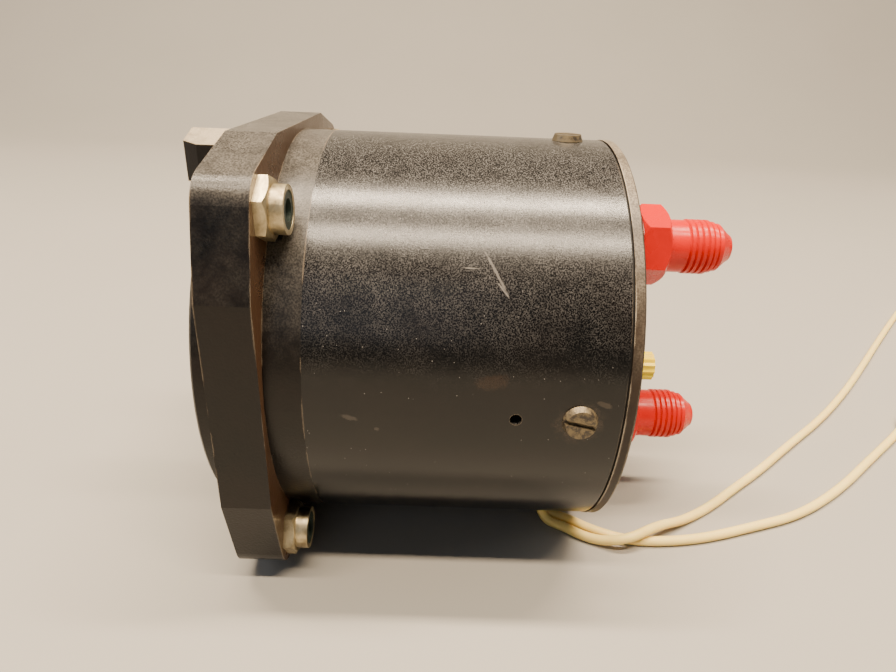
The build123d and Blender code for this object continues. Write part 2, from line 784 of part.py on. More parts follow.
with BuildPart() as socket_right:
    with BuildSketch(at_point(port_x, plate_y, port_z)):
        Circle(socket_stem_radius)
    extrude(amount=plate_y - socket_y)
    arm_turn = angle_of((port_x, port_z), socket_at)
    arm_length = hypot(socket_at[0] - port_x, socket_at[1] - port_z)
    arm_middle = polar((port_x, port_z), arm_length / 2, arm_turn)
    with BuildSketch(at_point(arm_middle[0], socket_arm_end_y, arm_middle[1], arm_turn)):
        Rectangle(arm_length, 2 * socket_arm_half)
    extrude(amount=socket_arm_end_y - socket_y)
    with BuildSketch(at_point(socket_at[0], socket_arm_end_y, socket_at[1], root_angle - 90)):
        Rectangle(socket_length, socket_depth)
    extrude(amount=socket_arm_end_y - tube_front_y + 0.5)
    with BuildSketch(at_point(port_x, plate_y, port_z)):
        Circle(nipple_spigot_radius + clearance)
    extrude(amount=plate_y - nipple_spigot_y + 0.5, mode=Mode.SUBTRACT)
    with BuildSketch(at_point(port_x, plate_y, port_z)):
        Circle(nipple_bore)
    extrude(amount=plate_y - socket_bore_y, mode=Mode.SUBTRACT)
socket_right.part.label = "socket_right"
export_step(socket_right.part, "parts/socket_right.step")

with BuildPart() as socket_left:
    with BuildSketch(at_point(port_x, plate_y, -port_z)):
        Circle(socket_stem_radius)
    extrude(amount=plate_y - socket_y)
    arm_turn = angle_of((port_x, -port_z), socket_left_at)
    arm_length = hypot(socket_left_at[0] - port_x, socket_left_at[1] + port_z)
    arm_middle = polar((port_x, -port_z), arm_length / 2, arm_turn)
    with BuildSketch(at_point(arm_middle[0], socket_arm_end_y, arm_middle[1], arm_turn)):
        Rectangle(arm_length, 2 * socket_arm_half)
    extrude(amount=socket_arm_end_y - socket_y)
    with BuildSketch(at_point(socket_left_at[0], socket_arm_end_y, socket_left_at[1], 90 - root_angle)):
        Rectangle(socket_length, socket_depth)
    extrude(amount=socket_arm_end_y - tube_front_y + 0.5)
    with BuildSketch(at_point(port_x, plate_y, -port_z)):
        Circle(nipple_spigot_radius + clearance)
    extrude(amount=plate_y - nipple_spigot_y + 0.5, mode=Mode.SUBTRACT)
    with BuildSketch(at_point(port_x, plate_y, -port_z)):
        Circle(nipple_bore)
    extrude(amount=plate_y - socket_bore_y, mode=Mode.SUBTRACT)
socket_left.part.label = "socket_left"
export_step(socket_left.part, "parts/socket_left.step")

with BuildPart() as bourdon_tube_right:
    half_thick = tube_thick / 2
    half_width = tube_width / 2
    section = Plane(
        origin=(tube_centre[0], tube_front_y + half_width, tube_centre[1]),
        x_dir=(cos(radians(tip_angle)), 0, sin(radians(tip_angle))),
        z_dir=(sin(radians(tip_angle)), 0, -cos(radians(tip_angle))),
    )
    with BuildSketch(section):
        with BuildLine():
            Polyline(
                (tube_radius - half_thick, tube_edge - half_width),
                (tube_radius - half_thick + tube_edge, -half_width),
                (tube_radius + half_thick - tube_edge, -half_width),
                (tube_radius + half_thick, tube_edge - half_width),
                (tube_radius + half_thick, half_width - tube_edge),
                (tube_radius + half_thick - tube_edge, half_width),
                (tube_radius - half_thick + tube_edge, half_width),
                (tube_radius - half_thick, half_width - tube_edge),
                close=True,
            )
        make_face()
        with Locations((tube_radius, 0)):
            Rectangle(tube_thick - 2 * tube_wall, tube_width - 2 * tube_edge, mode=Mode.SUBTRACT)
    revolve(axis=Axis((tube_centre[0], 0, tube_centre[1]), (0, 1, 0)), revolution_arc=tube_turn)
    plug_at = polar(tube_pin_at, tube_plug / 2, tip_angle + 90)
    with BuildSketch(at_point(plug_at[0], tube_front_y + tube_width, plug_at[1], tip_angle)):
        Rectangle(tube_thick, tube_plug)
    extrude(amount=tube_width)
    with BuildSketch(at_point(tube_pin_at[0], tube_front_y + 1, tube_pin_at[1])):
        Circle(pin_radius)
    extrude(amount=tube_front_y + 1 - link_y + 0.4)
bourdon_tube_right.part.label = "bourdon_tube_right"
export_step(bourdon_tube_right.part, "parts/bourdon_tube_right.step")

with BuildPart() as bourdon_tube_left:
    add(bourdon_tube_right.part.mirror(Plane.YZ))
bourdon_tube_left.part.label = "bourdon_tube_left"
export_step(bourdon_tube_left.part, "parts/bourdon_tube_left.step")

sector_pitch = module * sector_teeth_full / 2
sector_foot = gear_distance - module * pinion_teeth / 2 - pinion_addendum - tooth_foot_gap
sector_outline = [sector_at]
for number in range(sector_first_tooth, sector_last_tooth + 1):
    tooth_middle = gear_line + 180 + number * 360 / sector_teeth_full
    sector_outline += tooth_points(sector_teeth_full, sector_addendum, sector_foot, tooth_middle, sector_at)
window_turn = gear_line + 180 + (sector_first_tooth + sector_last_tooth) * 180 / sector_teeth_full
window_at = polar(sector_at, 0.66 * sector_pitch, window_turn)

with BuildPart() as sector_right:
    with BuildSketch(at_depth(gear_y + gear_thick)):
        with BuildLine():
            Polyline(*sector_outline, close=True)
        make_face()
        with Locations(window_at):
            Circle(0.17 * sector_pitch, mode=Mode.SUBTRACT)
        with Locations(sector_at):
            Circle(sector_hub_radius)
    extrude(amount=gear_thick)
    tail_middle_at = polar(sector_at, tail_length / 2, tail_rest)
    with BuildSketch(at_point(tail_middle_at[0], gear_y + gear_thick, tail_middle_at[1], tail_rest)):
        SlotCenterToCenter(tail_length, 2 * link_half_width)
    extrude(amount=gear_thick)
    with BuildSketch(at_point(sector_at[0], sector_hub_end_y, sector_at[1])):
        Circle(sector_hub_radius)
    extrude(amount=sector_hub_end_y - sector_hub_y)
    with BuildSketch(at_point(sector_at[0], shaft_end_y, sector_at[1])):
        Circle(shaft_radius)
    extrude(amount=shaft_end_y - front_plate_y + 0.6)
    with BuildSketch(at_point(tail_at[0], pin_end_y, tail_at[1])):
        Circle(pin_radius)
    extrude(amount=pin_end_y - gear_y)
sector_right.part.label = "sector_right"
export_step(sector_right.part, "parts/sector_right.step")

with BuildPart() as sector_left:
    add(sector_right.part.mirror(Plane.YZ))
sector_left.part.label = "sector_left"
export_step(sector_left.part, "parts/sector_left.step")

with BuildPart() as link_right:
    link_turn = angle_of(tail_at, tube_pin_at)
    link_middle = polar(tail_at, link_length / 2, link_turn)
    with BuildSketch(at_point(link_middle[0], link_y + link_thick, link_middle[1], link_turn)):
        SlotCenterToCenter(link_length, 2 * link_half_width)
        with Locations((-link_length / 2, 0)):
            Circle(pin_radius + tail_pin_clearance, mode=Mode.SUBTRACT)
        with Locations((link_length / 2, 0)):
            Circle(pin_radius + clearance, mode=Mode.SUBTRACT)
    extrude(amount=link_thick)
link_right.part.label = "link_right"
export_step(link_right.part, "parts/link_right.step")

with BuildPart() as link_left:
    add(link_right.part.mirror(Plane.YZ))
link_left.part.label = "link_left"
export_step(link_left.part, "parts/link_left.step")

pinion_foot = gear_distance - sector_pitch - sector_addendum - tooth_foot_gap
pinion_outline = []
for number in range(pinion_teeth):
    tooth_middle = gear_line + (number + 0.5) * 360 / pinion_teeth
    pinion_outline += tooth_points(pinion_teeth, pinion_addendum, pinion_foot, tooth_middle, pinion_at)

with BuildPart() as pinion_right:
    with BuildSketch(at_depth(pinion_rear_y)):
        with BuildLine():
            Polyline(*pinion_outline, close=True)
        make_face()
    extrude(amount=pinion_rear_y - pinion_front_y)
    with BuildSketch(at_point(pinion_x, shaft_end_y, 0)):
        Circle(shaft_radius)
    extrude(amount=shaft_end_y - hub_y)
    with BuildSketch(at_point(pinion_x, collet_end_y, 0)):
        Circle(collet_radius)
    extrude(amount=collet_end_y - collet_y)
pinion_right.part.label = "pinion_right"
export_step(pinion_right.part, "parts/pinion_right.step")

with BuildPart() as pinion_left:
    add(pinion_right.part.mirror(Plane.YZ))
pinion_left.part.label = "pinion_left"
export_step(pinion_left.part, "parts/pinion_left.step")

with BuildPart() as pointer_right:
    with BuildSketch(at_point(pinion_x, pointer_y + pointer_thick, 0, pointer_rest)):
        with BuildLine():
            Polyline(
                (-pointer_tail, -pointer_half_width),
                (pointer_length - 2, -pointer_half_width / 2),
                (pointer_length, -pointer_tip_half),
                (pointer_length, pointer_tip_half),
                (pointer_length - 2, pointer_half_width / 2),
                (-pointer_tail, pointer_half_width),
                close=True,
            )
        make_face()
    extrude(amount=pointer_thick)
    with BuildSketch(at_point(pinion_x, hub_end_y, 0)):
        Circle(hub_radius)
    extrude(amount=hub_end_y - hub_y)
    with BuildSketch(at_point(pinion_x, hub_end_y, 0)):
        Circle(shaft_radius)
    extrude(amount=hub_end_y - hub_y, mode=Mode.SUBTRACT)
pointer_right.part.label = "pointer_right"
export_step(pointer_right.part, "parts/pointer_right.step")

with BuildPart() as pointer_left:
    add(pointer_right.part.mirror(Plane.YZ))
pointer_left.part.label = "pointer_left"
export_step(pointer_left.part, "parts/pointer_left.step")

spiral_steps = 18 * spring_turns
spring_outside = []
spring_inside = []
for step in range(spiral_steps + 1):
    middle_radius = spring_inner + (spring_outer - spring_inner) * step / spiral_steps
    spring_outside.append(polar(pinion_at, middle_radius + spring_thick / 2, 20 * step))
    spring_inside.append(polar(pinion_at, middle_radius - spring_thick / 2, 20 * step))

with BuildPart() as hairsprings:
    with BuildSketch(at_depth(spring_y + spring_width)):
        with BuildLine():
            Polyline(*spring_outside, *reversed(spring_inside), close=True)
        make_face()
    extrude(amount=spring_width)
    with BuildSketch(at_point(pinion_x + spring_outer, rear_plate_y, 0)):
        Circle(2.5 * spring_thick)
    extrude(amount=rear_plate_y - spring_y)
    mirror(about=Plane.YZ)
hairsprings.part.label = "hairsprings"
export_step(hairsprings.part, "parts/hairsprings.step")

with BuildPart() as grommet:
    with BuildSketch(radial(case_radius, grommet_angle, case_screw_y)):
        Circle(grommet_lip_radius)
    extrude(amount=grommet_lip_thick, taper=15)
    with BuildSketch(radial(case_radius, grommet_angle, case_screw_y)):
        Circle(grommet_radius - clearance)
    extrude(amount=skirt_bore - 1 - case_radius)
    with BuildSketch(radial(skirt_bore - 0.3, grommet_angle, case_screw_y)):
        Circle(grommet_lip_radius)
    extrude(amount=-grommet_lip_thick)
    with BuildSketch(radial(case_radius + 2, grommet_angle, case_screw_y)):
        Circle(grommet_bore)
    extrude(amount=-through, mode=Mode.SUBTRACT)
grommet.part.label = "grommet"
export_step(grommet.part, "parts/grommet.step")


def wire_start(angle):
    # from inside the rubber ring straight down to the floor
    inner = polar((0, 0), wire_start_radius, angle)
    down = polar((0, 0), wire_z / sin(radians(angle)), angle)
    return [(inner[0], case_screw_y, inner[1]), (down[0], case_screw_y, wire_z)]


def bend_radii(points):
    radii = []
    for before, here, after in zip(points, points[1:], points[2:]):
        run_in = Vector(here) - Vector(before)
        run_out = Vector(after) - Vector(here)
        half_turn = radians(run_in.get_angle(run_out)) / 2
        radii.append(0.45 * min(run_in.length, run_out.length) / tan(half_turn))
    return radii


wire_a_points = wire_start(wire_a_angle) + [
    (19.3, 66.4, wire_z),
    (21.7, 69.5, wire_z),
    (23.4, 73.6, wire_z + 0.2),
    (25.1, 78.5, wire_z + 2.5),
    (20.5, 86.0, wire_z + 2.5),
    (16.0, 93.5, wire_z + 0.1),
    (10.5, 102.0, wire_z),
    (3.7, 110.2, wire_z),
    (-4.5, 120.6, wire_z),
    (-16.8, 134.4, wire_z),
    (-30.3, 150.3, wire_z),
    (-46.9, 166.9, wire_z),
    (-64.6, 183.0, wire_z),
    (-90.9, 206.2, wire_z),
    (-118.7, 231.3, wire_z),
    (-129.0, 240.9, wire_z),
]
wire_b_points = wire_start(wire_b_angle) + [
    (16.3, 67.4, wire_z),
    (18.5, 70.1, wire_z),
    (20.7, 74.1, wire_z),
    (22.2, 78.1, wire_z),
    (22.8, 82.3, wire_z),
    (22.5, 89.0, wire_z),
    (21.0, 97.4, wire_z),
    (16.8, 110.0, wire_z),
    (12.5, 122.2, wire_z),
    (2.6, 137.2, wire_z),
    (-10.7, 153.0, wire_z),
    (-23.5, 168.5, wire_z),
    (-30.6, 176.0, wire_z),
]
wire_a_radii = bend_radii(wire_a_points)
wire_b_radii = bend_radii(wire_b_points)
print("wire_a bend radii", [round(radius, 2) for radius in wire_a_radii])
print("wire_b bend radii", [round(radius, 2) for radius in wire_b_radii])


def coil_centre(points):
    # the coil lies to the right of the wire's last run, which is its tangent
    (x0, y0, z0), (x1, y1, z1) = points[-2:]
    run = hypot(x1 - x0, y1 - y0)
    return (x1 + coil_radius * (y1 - y0) / run, y1 - coil_radius * (x1 - x0) / run)


with BuildPart() as wire_a:
    with BuildLine() as wire_a_route:
        FilletPolyline(*wire_a_points, radius=wire_a_radii)
    with BuildSketch(Plane(origin=wire_a_route.line @ 0, z_dir=wire_a_route.line % 0)):
        Circle(wire_diameter / 2)
    sweep(path=wire_a_route.line)
wire_a.part.label = "wire_a"
export_step(wire_a.part, "parts/wire_a.step")

with BuildPart() as wire_b:
    with BuildLine() as wire_b_route:
        FilletPolyline(*wire_b_points, radius=wire_b_radii)
    with BuildSketch(Plane(origin=wire_b_route.line @ 0, z_dir=wire_b_route.line % 0)):
        Circle(wire_diameter / 2)
    sweep(path=wire_b_route.line)
wire_b.part.label = "wire_b"
export_step(wire_b.part, "parts/wire_b.step")

wire_section = pi * wire_diameter ** 2 / 4
wire_a_length = sum(edge.length for edge in wire_a_route.edges())
wire_b_length = sum(edge.length for edge in wire_b_route.edges())
print("wire_a length", wire_a_length, "volume ratio", wire_a.part.volume / (wire_section * wire_a_length))
print("wire_b length", wire_b_length, "volume ratio", wire_b.part.volume / (wire_section * wire_b_length))

coil_a_at = coil_centre(wire_a_points)
coil_b_at = coil_centre(wire_b_points)
print("coil centres", coil_a_at, coil_b_at)

with BuildPart() as wire_a_coil:
    with BuildSketch(Plane.XY.offset(floor_z)):
        with Locations(coil_a_at):
            Circle(coil_radius + wire_diameter / 2)
            Circle(coil_radius - wire_diameter / 2, mode=Mode.SUBTRACT)
    extrude(amount=wire_diameter)
wire_a_coil.part.label = "wire_a_coil"
export_step(wire_a_coil.part, "parts/wire_a_coil.step")

with BuildPart() as wire_b_coil:
    with BuildSketch(Plane.XY.offset(floor_z)):
        with Locations(coil_b_at):
            Circle(coil_radius + wire_diameter)
            Circle(coil_radius - wire_diameter, mode=Mode.SUBTRACT)
    extrude(amount=coil_b_height)
wire_b_coil.part.label = "wire_b_coil"
export_step(wire_b_coil.part, "parts/wire_b_coil.step")
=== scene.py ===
# %% [markdown]
# # An aircraft pressure indicator, lying on a table
#
# The part is a round panel instrument: a square flange and a ring in front, a black
# drawn case behind, two ports with red caps, and two lamp wires. The solids come from
# the CAD model. Here they get their finishes, and the wires are laid as soft curves.

# %% The tools and the frame
import math

import bpy
from mathutils import Matrix, Vector


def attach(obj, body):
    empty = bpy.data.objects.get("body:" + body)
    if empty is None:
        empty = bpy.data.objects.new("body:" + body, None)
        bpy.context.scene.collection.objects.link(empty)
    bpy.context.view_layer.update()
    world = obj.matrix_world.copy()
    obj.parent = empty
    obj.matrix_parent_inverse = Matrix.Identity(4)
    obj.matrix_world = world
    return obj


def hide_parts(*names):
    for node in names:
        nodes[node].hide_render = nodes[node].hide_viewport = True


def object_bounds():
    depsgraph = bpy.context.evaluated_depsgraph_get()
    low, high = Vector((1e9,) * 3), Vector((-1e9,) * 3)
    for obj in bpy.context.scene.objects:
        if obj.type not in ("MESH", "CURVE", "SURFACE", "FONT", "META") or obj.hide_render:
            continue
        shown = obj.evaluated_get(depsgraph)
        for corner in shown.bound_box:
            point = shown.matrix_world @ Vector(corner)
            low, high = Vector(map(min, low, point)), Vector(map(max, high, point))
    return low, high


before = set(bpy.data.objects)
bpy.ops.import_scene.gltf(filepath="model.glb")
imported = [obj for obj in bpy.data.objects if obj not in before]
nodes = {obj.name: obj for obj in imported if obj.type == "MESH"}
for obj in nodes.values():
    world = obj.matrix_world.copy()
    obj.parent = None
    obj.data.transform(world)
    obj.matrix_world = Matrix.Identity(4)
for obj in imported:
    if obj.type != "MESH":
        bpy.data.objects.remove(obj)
cad_box = [list(corner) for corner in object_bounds()]
print(len(nodes), "solid nodes, box", cad_box)

# %% [markdown]
# ## Colours and nodes
#
# Colours are easier to pick as the hex values of a screen, but a renderer works in
# linear light, so one function turns them round. A second one adds a shader node with
# its settings and its links. A third starts a material with its shader, its output and
# the object's own coordinates. Every finish below is made with the three.


# %% Three helpers for finishes
def linear(hex_colour):
    channels = [int(hex_colour[first : first + 2], 16) / 255 for first in (1, 3, 5)]
    turned = [
        channel / 12.92 if channel <= 0.04045 else ((channel + 0.055) / 1.055) ** 2.4
        for channel in channels
    ]
    return (*turned, 1.0)


def add(tree, kind, inputs=None, **settings):
    node = tree.nodes.new(kind)
    for name, value in settings.items():
        setattr(node, name, value)
    for socket, value in (inputs or {}).items():
        if isinstance(value, bpy.types.NodeSocket):
            tree.links.new(value, node.inputs[socket])
        else:
            node.inputs[socket].default_value = value
    return node


def start(name, **surface):
    material = bpy.data.materials.new(name)
    material.use_nodes = True
    tree = material.node_tree
    tree.nodes.clear()
    inputs = {key.replace("_", " "): value for key, value in surface.items()}
    shader = add(tree, "ShaderNodeBsdfPrincipled", inputs)
    add(tree, "ShaderNodeOutputMaterial", {"Surface": shader.outputs[0]})
    place = add(tree, "ShaderNodeTexCoord").outputs["Object"]
    return material, tree, shader, place


print("white is", linear("#ffffff"), "and mid grey", linear("#808080"))

# %% [markdown]
# ## Where an edge is worn, and where dust and painted light lie
#
# Handling rubs paint through where an edge sticks out. The Bevel node gives the normal
# that the surface would have if its edges were rounded, and it differs from the true
# one only near an edge. One minus their dot product, broken up by a noise about 1 mm
# across, is a mask with chipped borders. A wider noise leaves some stretches of the
# edge whole. Several finishes below use the mask. A second mask is the upward part of
# the normal times a noise. It lays a lighter colour on what faces up: partly dust, and
# partly painted light from the lamps above.


# %% The worn edge as a mask
def worn_edges(tree, place, reach_mm, chip_mm, low, high):
    rounded = add(tree, "ShaderNodeBevel", {"Radius": reach_mm / 1000}, samples=6)
    true = add(tree, "ShaderNodeNewGeometry")
    match = add(
        tree,
        "ShaderNodeVectorMath",
        {0: rounded.outputs[0], 1: true.outputs["Normal"]},
        operation="DOT_PRODUCT",
    )
    apart = add(tree, "ShaderNodeMath", {0: 1.0, 1: match.outputs["Value"]}, operation="SUBTRACT")
    chips = add(
        tree,
        "ShaderNodeTexNoise",
        {"Vector": place, "Scale": 1000 / chip_mm, "Detail": 6.0, "Roughness": 0.7},
    )
    broken = add(
        tree, "ShaderNodeMath", {0: apart.outputs[0], 1: chips.outputs[0]}, operation="MULTIPLY"
    )
    wide = add(tree, "ShaderNodeTexNoise", {"Vector": place, "Scale": 1000 / 9, "Detail": 3.0})
    stretch = add(
        tree, "ShaderNodeMapRange", {"Value": wide.outputs[0], "From Min": 0.4, "From Max": 0.6}
    )
    worn = add(
        tree, "ShaderNodeMath", {0: broken.outputs[0], 1: stretch.outputs[0]}, operation="MULTIPLY"
    )
    return add(
        tree, "ShaderNodeMapRange", {"Value": worn.outputs[0], "From Min": low, "From Max": high}
    ).outputs[0]


# Lighter colour on what faces up: partly dust, partly painted light from the lamps above.
def facing_up(tree, place, low, high):
    normal = add(tree, "ShaderNodeTexCoord").outputs["Normal"]
    parts = add(tree, "ShaderNodeSeparateXYZ", {0: normal})
    dust_and_painted_light = add(
        tree,
        "ShaderNodeTexNoise",
        {"Vector": place, "Scale": 1000 / 5, "Detail": 6.0, "Roughness": 0.7},
    )
    uneven = add(
        tree, "ShaderNodeMath", {0: parts.outputs[2], 1: dust_and_painted_light.outputs[0]}, operation="MULTIPLY"
    )
    return add(
        tree, "ShaderNodeMapRange", {"Value": uneven.outputs[0], "From Min": low, "From Max": high}
    ).outputs[0]


print("worn edge mask ready")

# %% [markdown]
# ## Black enamel on castings
#
# The flange, the ring and the back plate are castings in sprayed black enamel. Spray
# leaves grain about 0.45 mm across that breaks the gloss up. The colour shifts a little
# towards brown where it is old, in patches of about 12 mm. What faces up is greyed,
# partly by dust and partly as painted light from the lamps above; on the hood that
# lighter top is all painted light. What faces the rear has a colour of its own. At the
# edges the enamel is gone: first a brown primer shows, and in the middle of the wear
# the metal itself.


# %% Sprayed enamel, worn
def sprayed_enamel(name, black, aged, top_dust_and_painted_light, rear, primer, bare, rough, low, high, grain_low=0.35):
    material, tree, shader, place = start(name, Specular_IOR_Level=0.3)
    patch = add(
        tree,
        "ShaderNodeTexNoise",
        {"Vector": place, "Scale": 1000 / 12, "Detail": 5.0, "Roughness": 0.6},
    )
    old = add(
        tree, "ShaderNodeMapRange", {"Value": patch.outputs[0], "From Min": 0.42, "From Max": 0.7}
    )
    colour = add(
        tree,
        "ShaderNodeMix",
        {0: old.outputs[0], 6: linear(black), 7: linear(aged)},
        data_type="RGBA",
    )
    fine = add(tree, "ShaderNodeTexNoise", {"Vector": place, "Scale": 1000 / 0.3, "Detail": 2.0})
    grit = add(
        tree,
        "ShaderNodeMapRange",
        {"Value": fine.outputs[0], "From Min": 0.4, "From Max": 0.6, "To Min": grain_low},
    )
    # What faces up is greyed: partly dust, partly painted light from above; the hood's top is all
    # painted light.
    topside = facing_up(tree, place, low=0.1, high=0.5)
    dust_and_painted_light = add(tree, "ShaderNodeMath", {0: topside, 1: grit.outputs[0]}, operation="MULTIPLY")
    topped = add(
        tree,
        "ShaderNodeMix",
        {0: dust_and_painted_light.outputs[0], 6: colour.outputs[2], 7: linear(top_dust_and_painted_light)},
        data_type="RGBA",
    )
    facing = add(
        tree, "ShaderNodeSeparateXYZ", {0: add(tree, "ShaderNodeTexCoord").outputs["Normal"]}
    )
    rearward = add(
        tree, "ShaderNodeMapRange", {"Value": facing.outputs[1], "From Min": 0.5, "From Max": 0.9}
    )
    behind = add(
        tree,
        "ShaderNodeMix",
        {0: rearward.outputs[0], 6: topped.outputs[2], 7: linear(rear)},
        data_type="RGBA",
    )
    edge = worn_edges(tree, place, reach_mm=0.6, chip_mm=1.2, low=low, high=high)
    primed = add(
        tree, "ShaderNodeMix", {0: edge, 6: behind.outputs[2], 7: linear(primer)}, data_type="RGBA"
    )
    deep = add(tree, "ShaderNodeMapRange", {"Value": edge, "From Min": 0.75, "From Max": 1.0})
    final = add(
        tree,
        "ShaderNodeMix",
        {0: deep.outputs[0], 6: primed.outputs[2], 7: linear(bare)},
        data_type="RGBA",
    )
    tree.links.new(final.outputs[2], shader.inputs["Base Color"])
    shine = add(
        tree,
        "ShaderNodeMapRange",
        {
            "Value": patch.outputs[0],
            "From Min": 0.3,
            "From Max": 0.75,
            "To Min": rough - 0.06,
            "To Max": rough + 0.14,
        },
    )
    tree.links.new(shine.outputs[0], shader.inputs["Roughness"])
    grain = add(
        tree,
        "ShaderNodeTexNoise",
        {"Vector": place, "Scale": 1000 / 0.45, "Detail": 3.0, "Roughness": 0.55},
    )
    bump = add(
        tree, "ShaderNodeBump", {"Height": grain.outputs[0], "Strength": 0.35, "Distance": 0.00012}
    )
    tree.links.new(bump.outputs[0], shader.inputs["Normal"])
    return material


flange_enamel = sprayed_enamel(
    "black enamel on cast flange",
    black="#060504",
    aged="#130d0a",
    top_dust_and_painted_light="#625e58",
    rear="#4b3626",
    primer="#4a3a2c",
    bare="#7d7160",
    rough=0.28,
    low=0.03,
    high=0.09,
)
# The hood is a black box; its beige top is painted light from the lamps above.
hood_enamel = sprayed_enamel(
    "black enamel on hood with painted top light",
    black="#0c0a09",
    aged="#1a130f",
    top_dust_and_painted_light="#b3a58d",
    rear="#1d1815",
    primer="#6f6048",
    bare="#a8987c",
    rough=0.45,
    low=0.03,
    high=0.09,
    grain_low=0.85,
)
plate_enamel = sprayed_enamel(
    "black enamel on back plate",
    black="#241b15",
    aged="#3f3226",
    top_dust_and_painted_light="#8f8472",
    rear="#1c1714",
    primer="#7d6f5e",
    bare="#b3a792",
    rough=0.45,
    low=0.02,
    high=0.06,
)
print("made", flange_enamel.name, "and", hood_enamel.name, "and", plate_enamel.name)

# %% [markdown]
# ## Stove enamel on the drawn case
#
# The case is drawn from sheet and stove enamelled, with a fine rough surface that
# sparkles: many grains of about 0.2 mm, each tilted a little. Small bright points are
# grains rubbed bare, and they are sparse, so only the centres of some Voronoi cells are
# kept. On the upper part a fine noise greys the enamel: partly dust, and partly a
# painted sparkle where the highlight falls. Faint rubbing along the case is a noise
# stretched along its length.
#
# The scratches and the paint lost round a screw lie at known places. The round wall is
# unrolled: the depth in millimetres and the arc along the wall are the two directions
# of a flat sheet. A mark is an ellipse on that sheet with a ragged border. Its row gives
# the depth in mm, the degrees round the wall, half the length and half the width in mm,
# the turn in degrees, the colour and how much of the enamel it covers.


# %% A mark on a round wall
def mark(tree, place, y_mm, degrees, half_length, half_width, turn, cover):
    parts = add(tree, "ShaderNodeSeparateXYZ", {0: place})
    angle = add(
        tree, "ShaderNodeMath", {0: parts.outputs[2], 1: parts.outputs[0]}, operation="ARCTAN2"
    )
    arc = add(tree, "ShaderNodeMath", {0: angle.outputs[0], 1: wall_radius}, operation="MULTIPLY")
    flat = add(tree, "ShaderNodeCombineXYZ", {0: parts.outputs[1], 1: arc.outputs[0]})
    ragged = add(tree, "ShaderNodeTexNoise", {"Vector": place, "Scale": 1000 / 0.8, "Detail": 4.0})
    local = add(
        tree,
        "ShaderNodeMapping",
        {
            "Vector": flat.outputs[0],
            "Location": (y_mm / 1000, math.radians(degrees) * wall_radius, 0),
            "Rotation": (0, 0, math.radians(turn)),
            "Scale": (half_length / 1000, half_width / 1000, 1),
        },
        vector_type="TEXTURE",
    )
    distance = add(tree, "ShaderNodeVectorMath", {0: local.outputs[0]}, operation="LENGTH")
    rough = add(
        tree,
        "ShaderNodeMath",
        {0: distance.outputs["Value"], 1: ragged.outputs[0]},
        operation="ADD",
    )
    return add(
        tree,
        "ShaderNodeMapRange",
        {"Value": rough.outputs[0], "From Min": 1.5, "From Max": 1.1, "To Max": cover},
    ).outputs[0]


wall_radius = 0.0397
case_marks = [
    (45.53, 35.3, 5.0, 0.26, -61.7, "#7f7a74", 0.6),
    (46.8, 31.0, 2.2, 0.18, -52.0, "#8f8a84", 0.5),
    (41.6, 36.0, 1.5, 0.12, 0.0, "#8c877f", 0.6),
    (45.75, 9.4, 3.2, 1.5, 8.0, "#2e2118", 0.6),
    (60.5, -0.5, 4.3, 4.1, 20.0, "#453a30", 0.5),
    (64.2, 4.8, 1.6, 0.6, -20.0, "#5c5145", 0.35),
    (22.5, -1.0, 1.6, 0.5, -15.0, "#5f5850", 0.35),
    (27.0, -4.0, 0.6, 0.4, 0.0, "#5f5850", 0.35),
]
print(len(case_marks), "marks on the case")


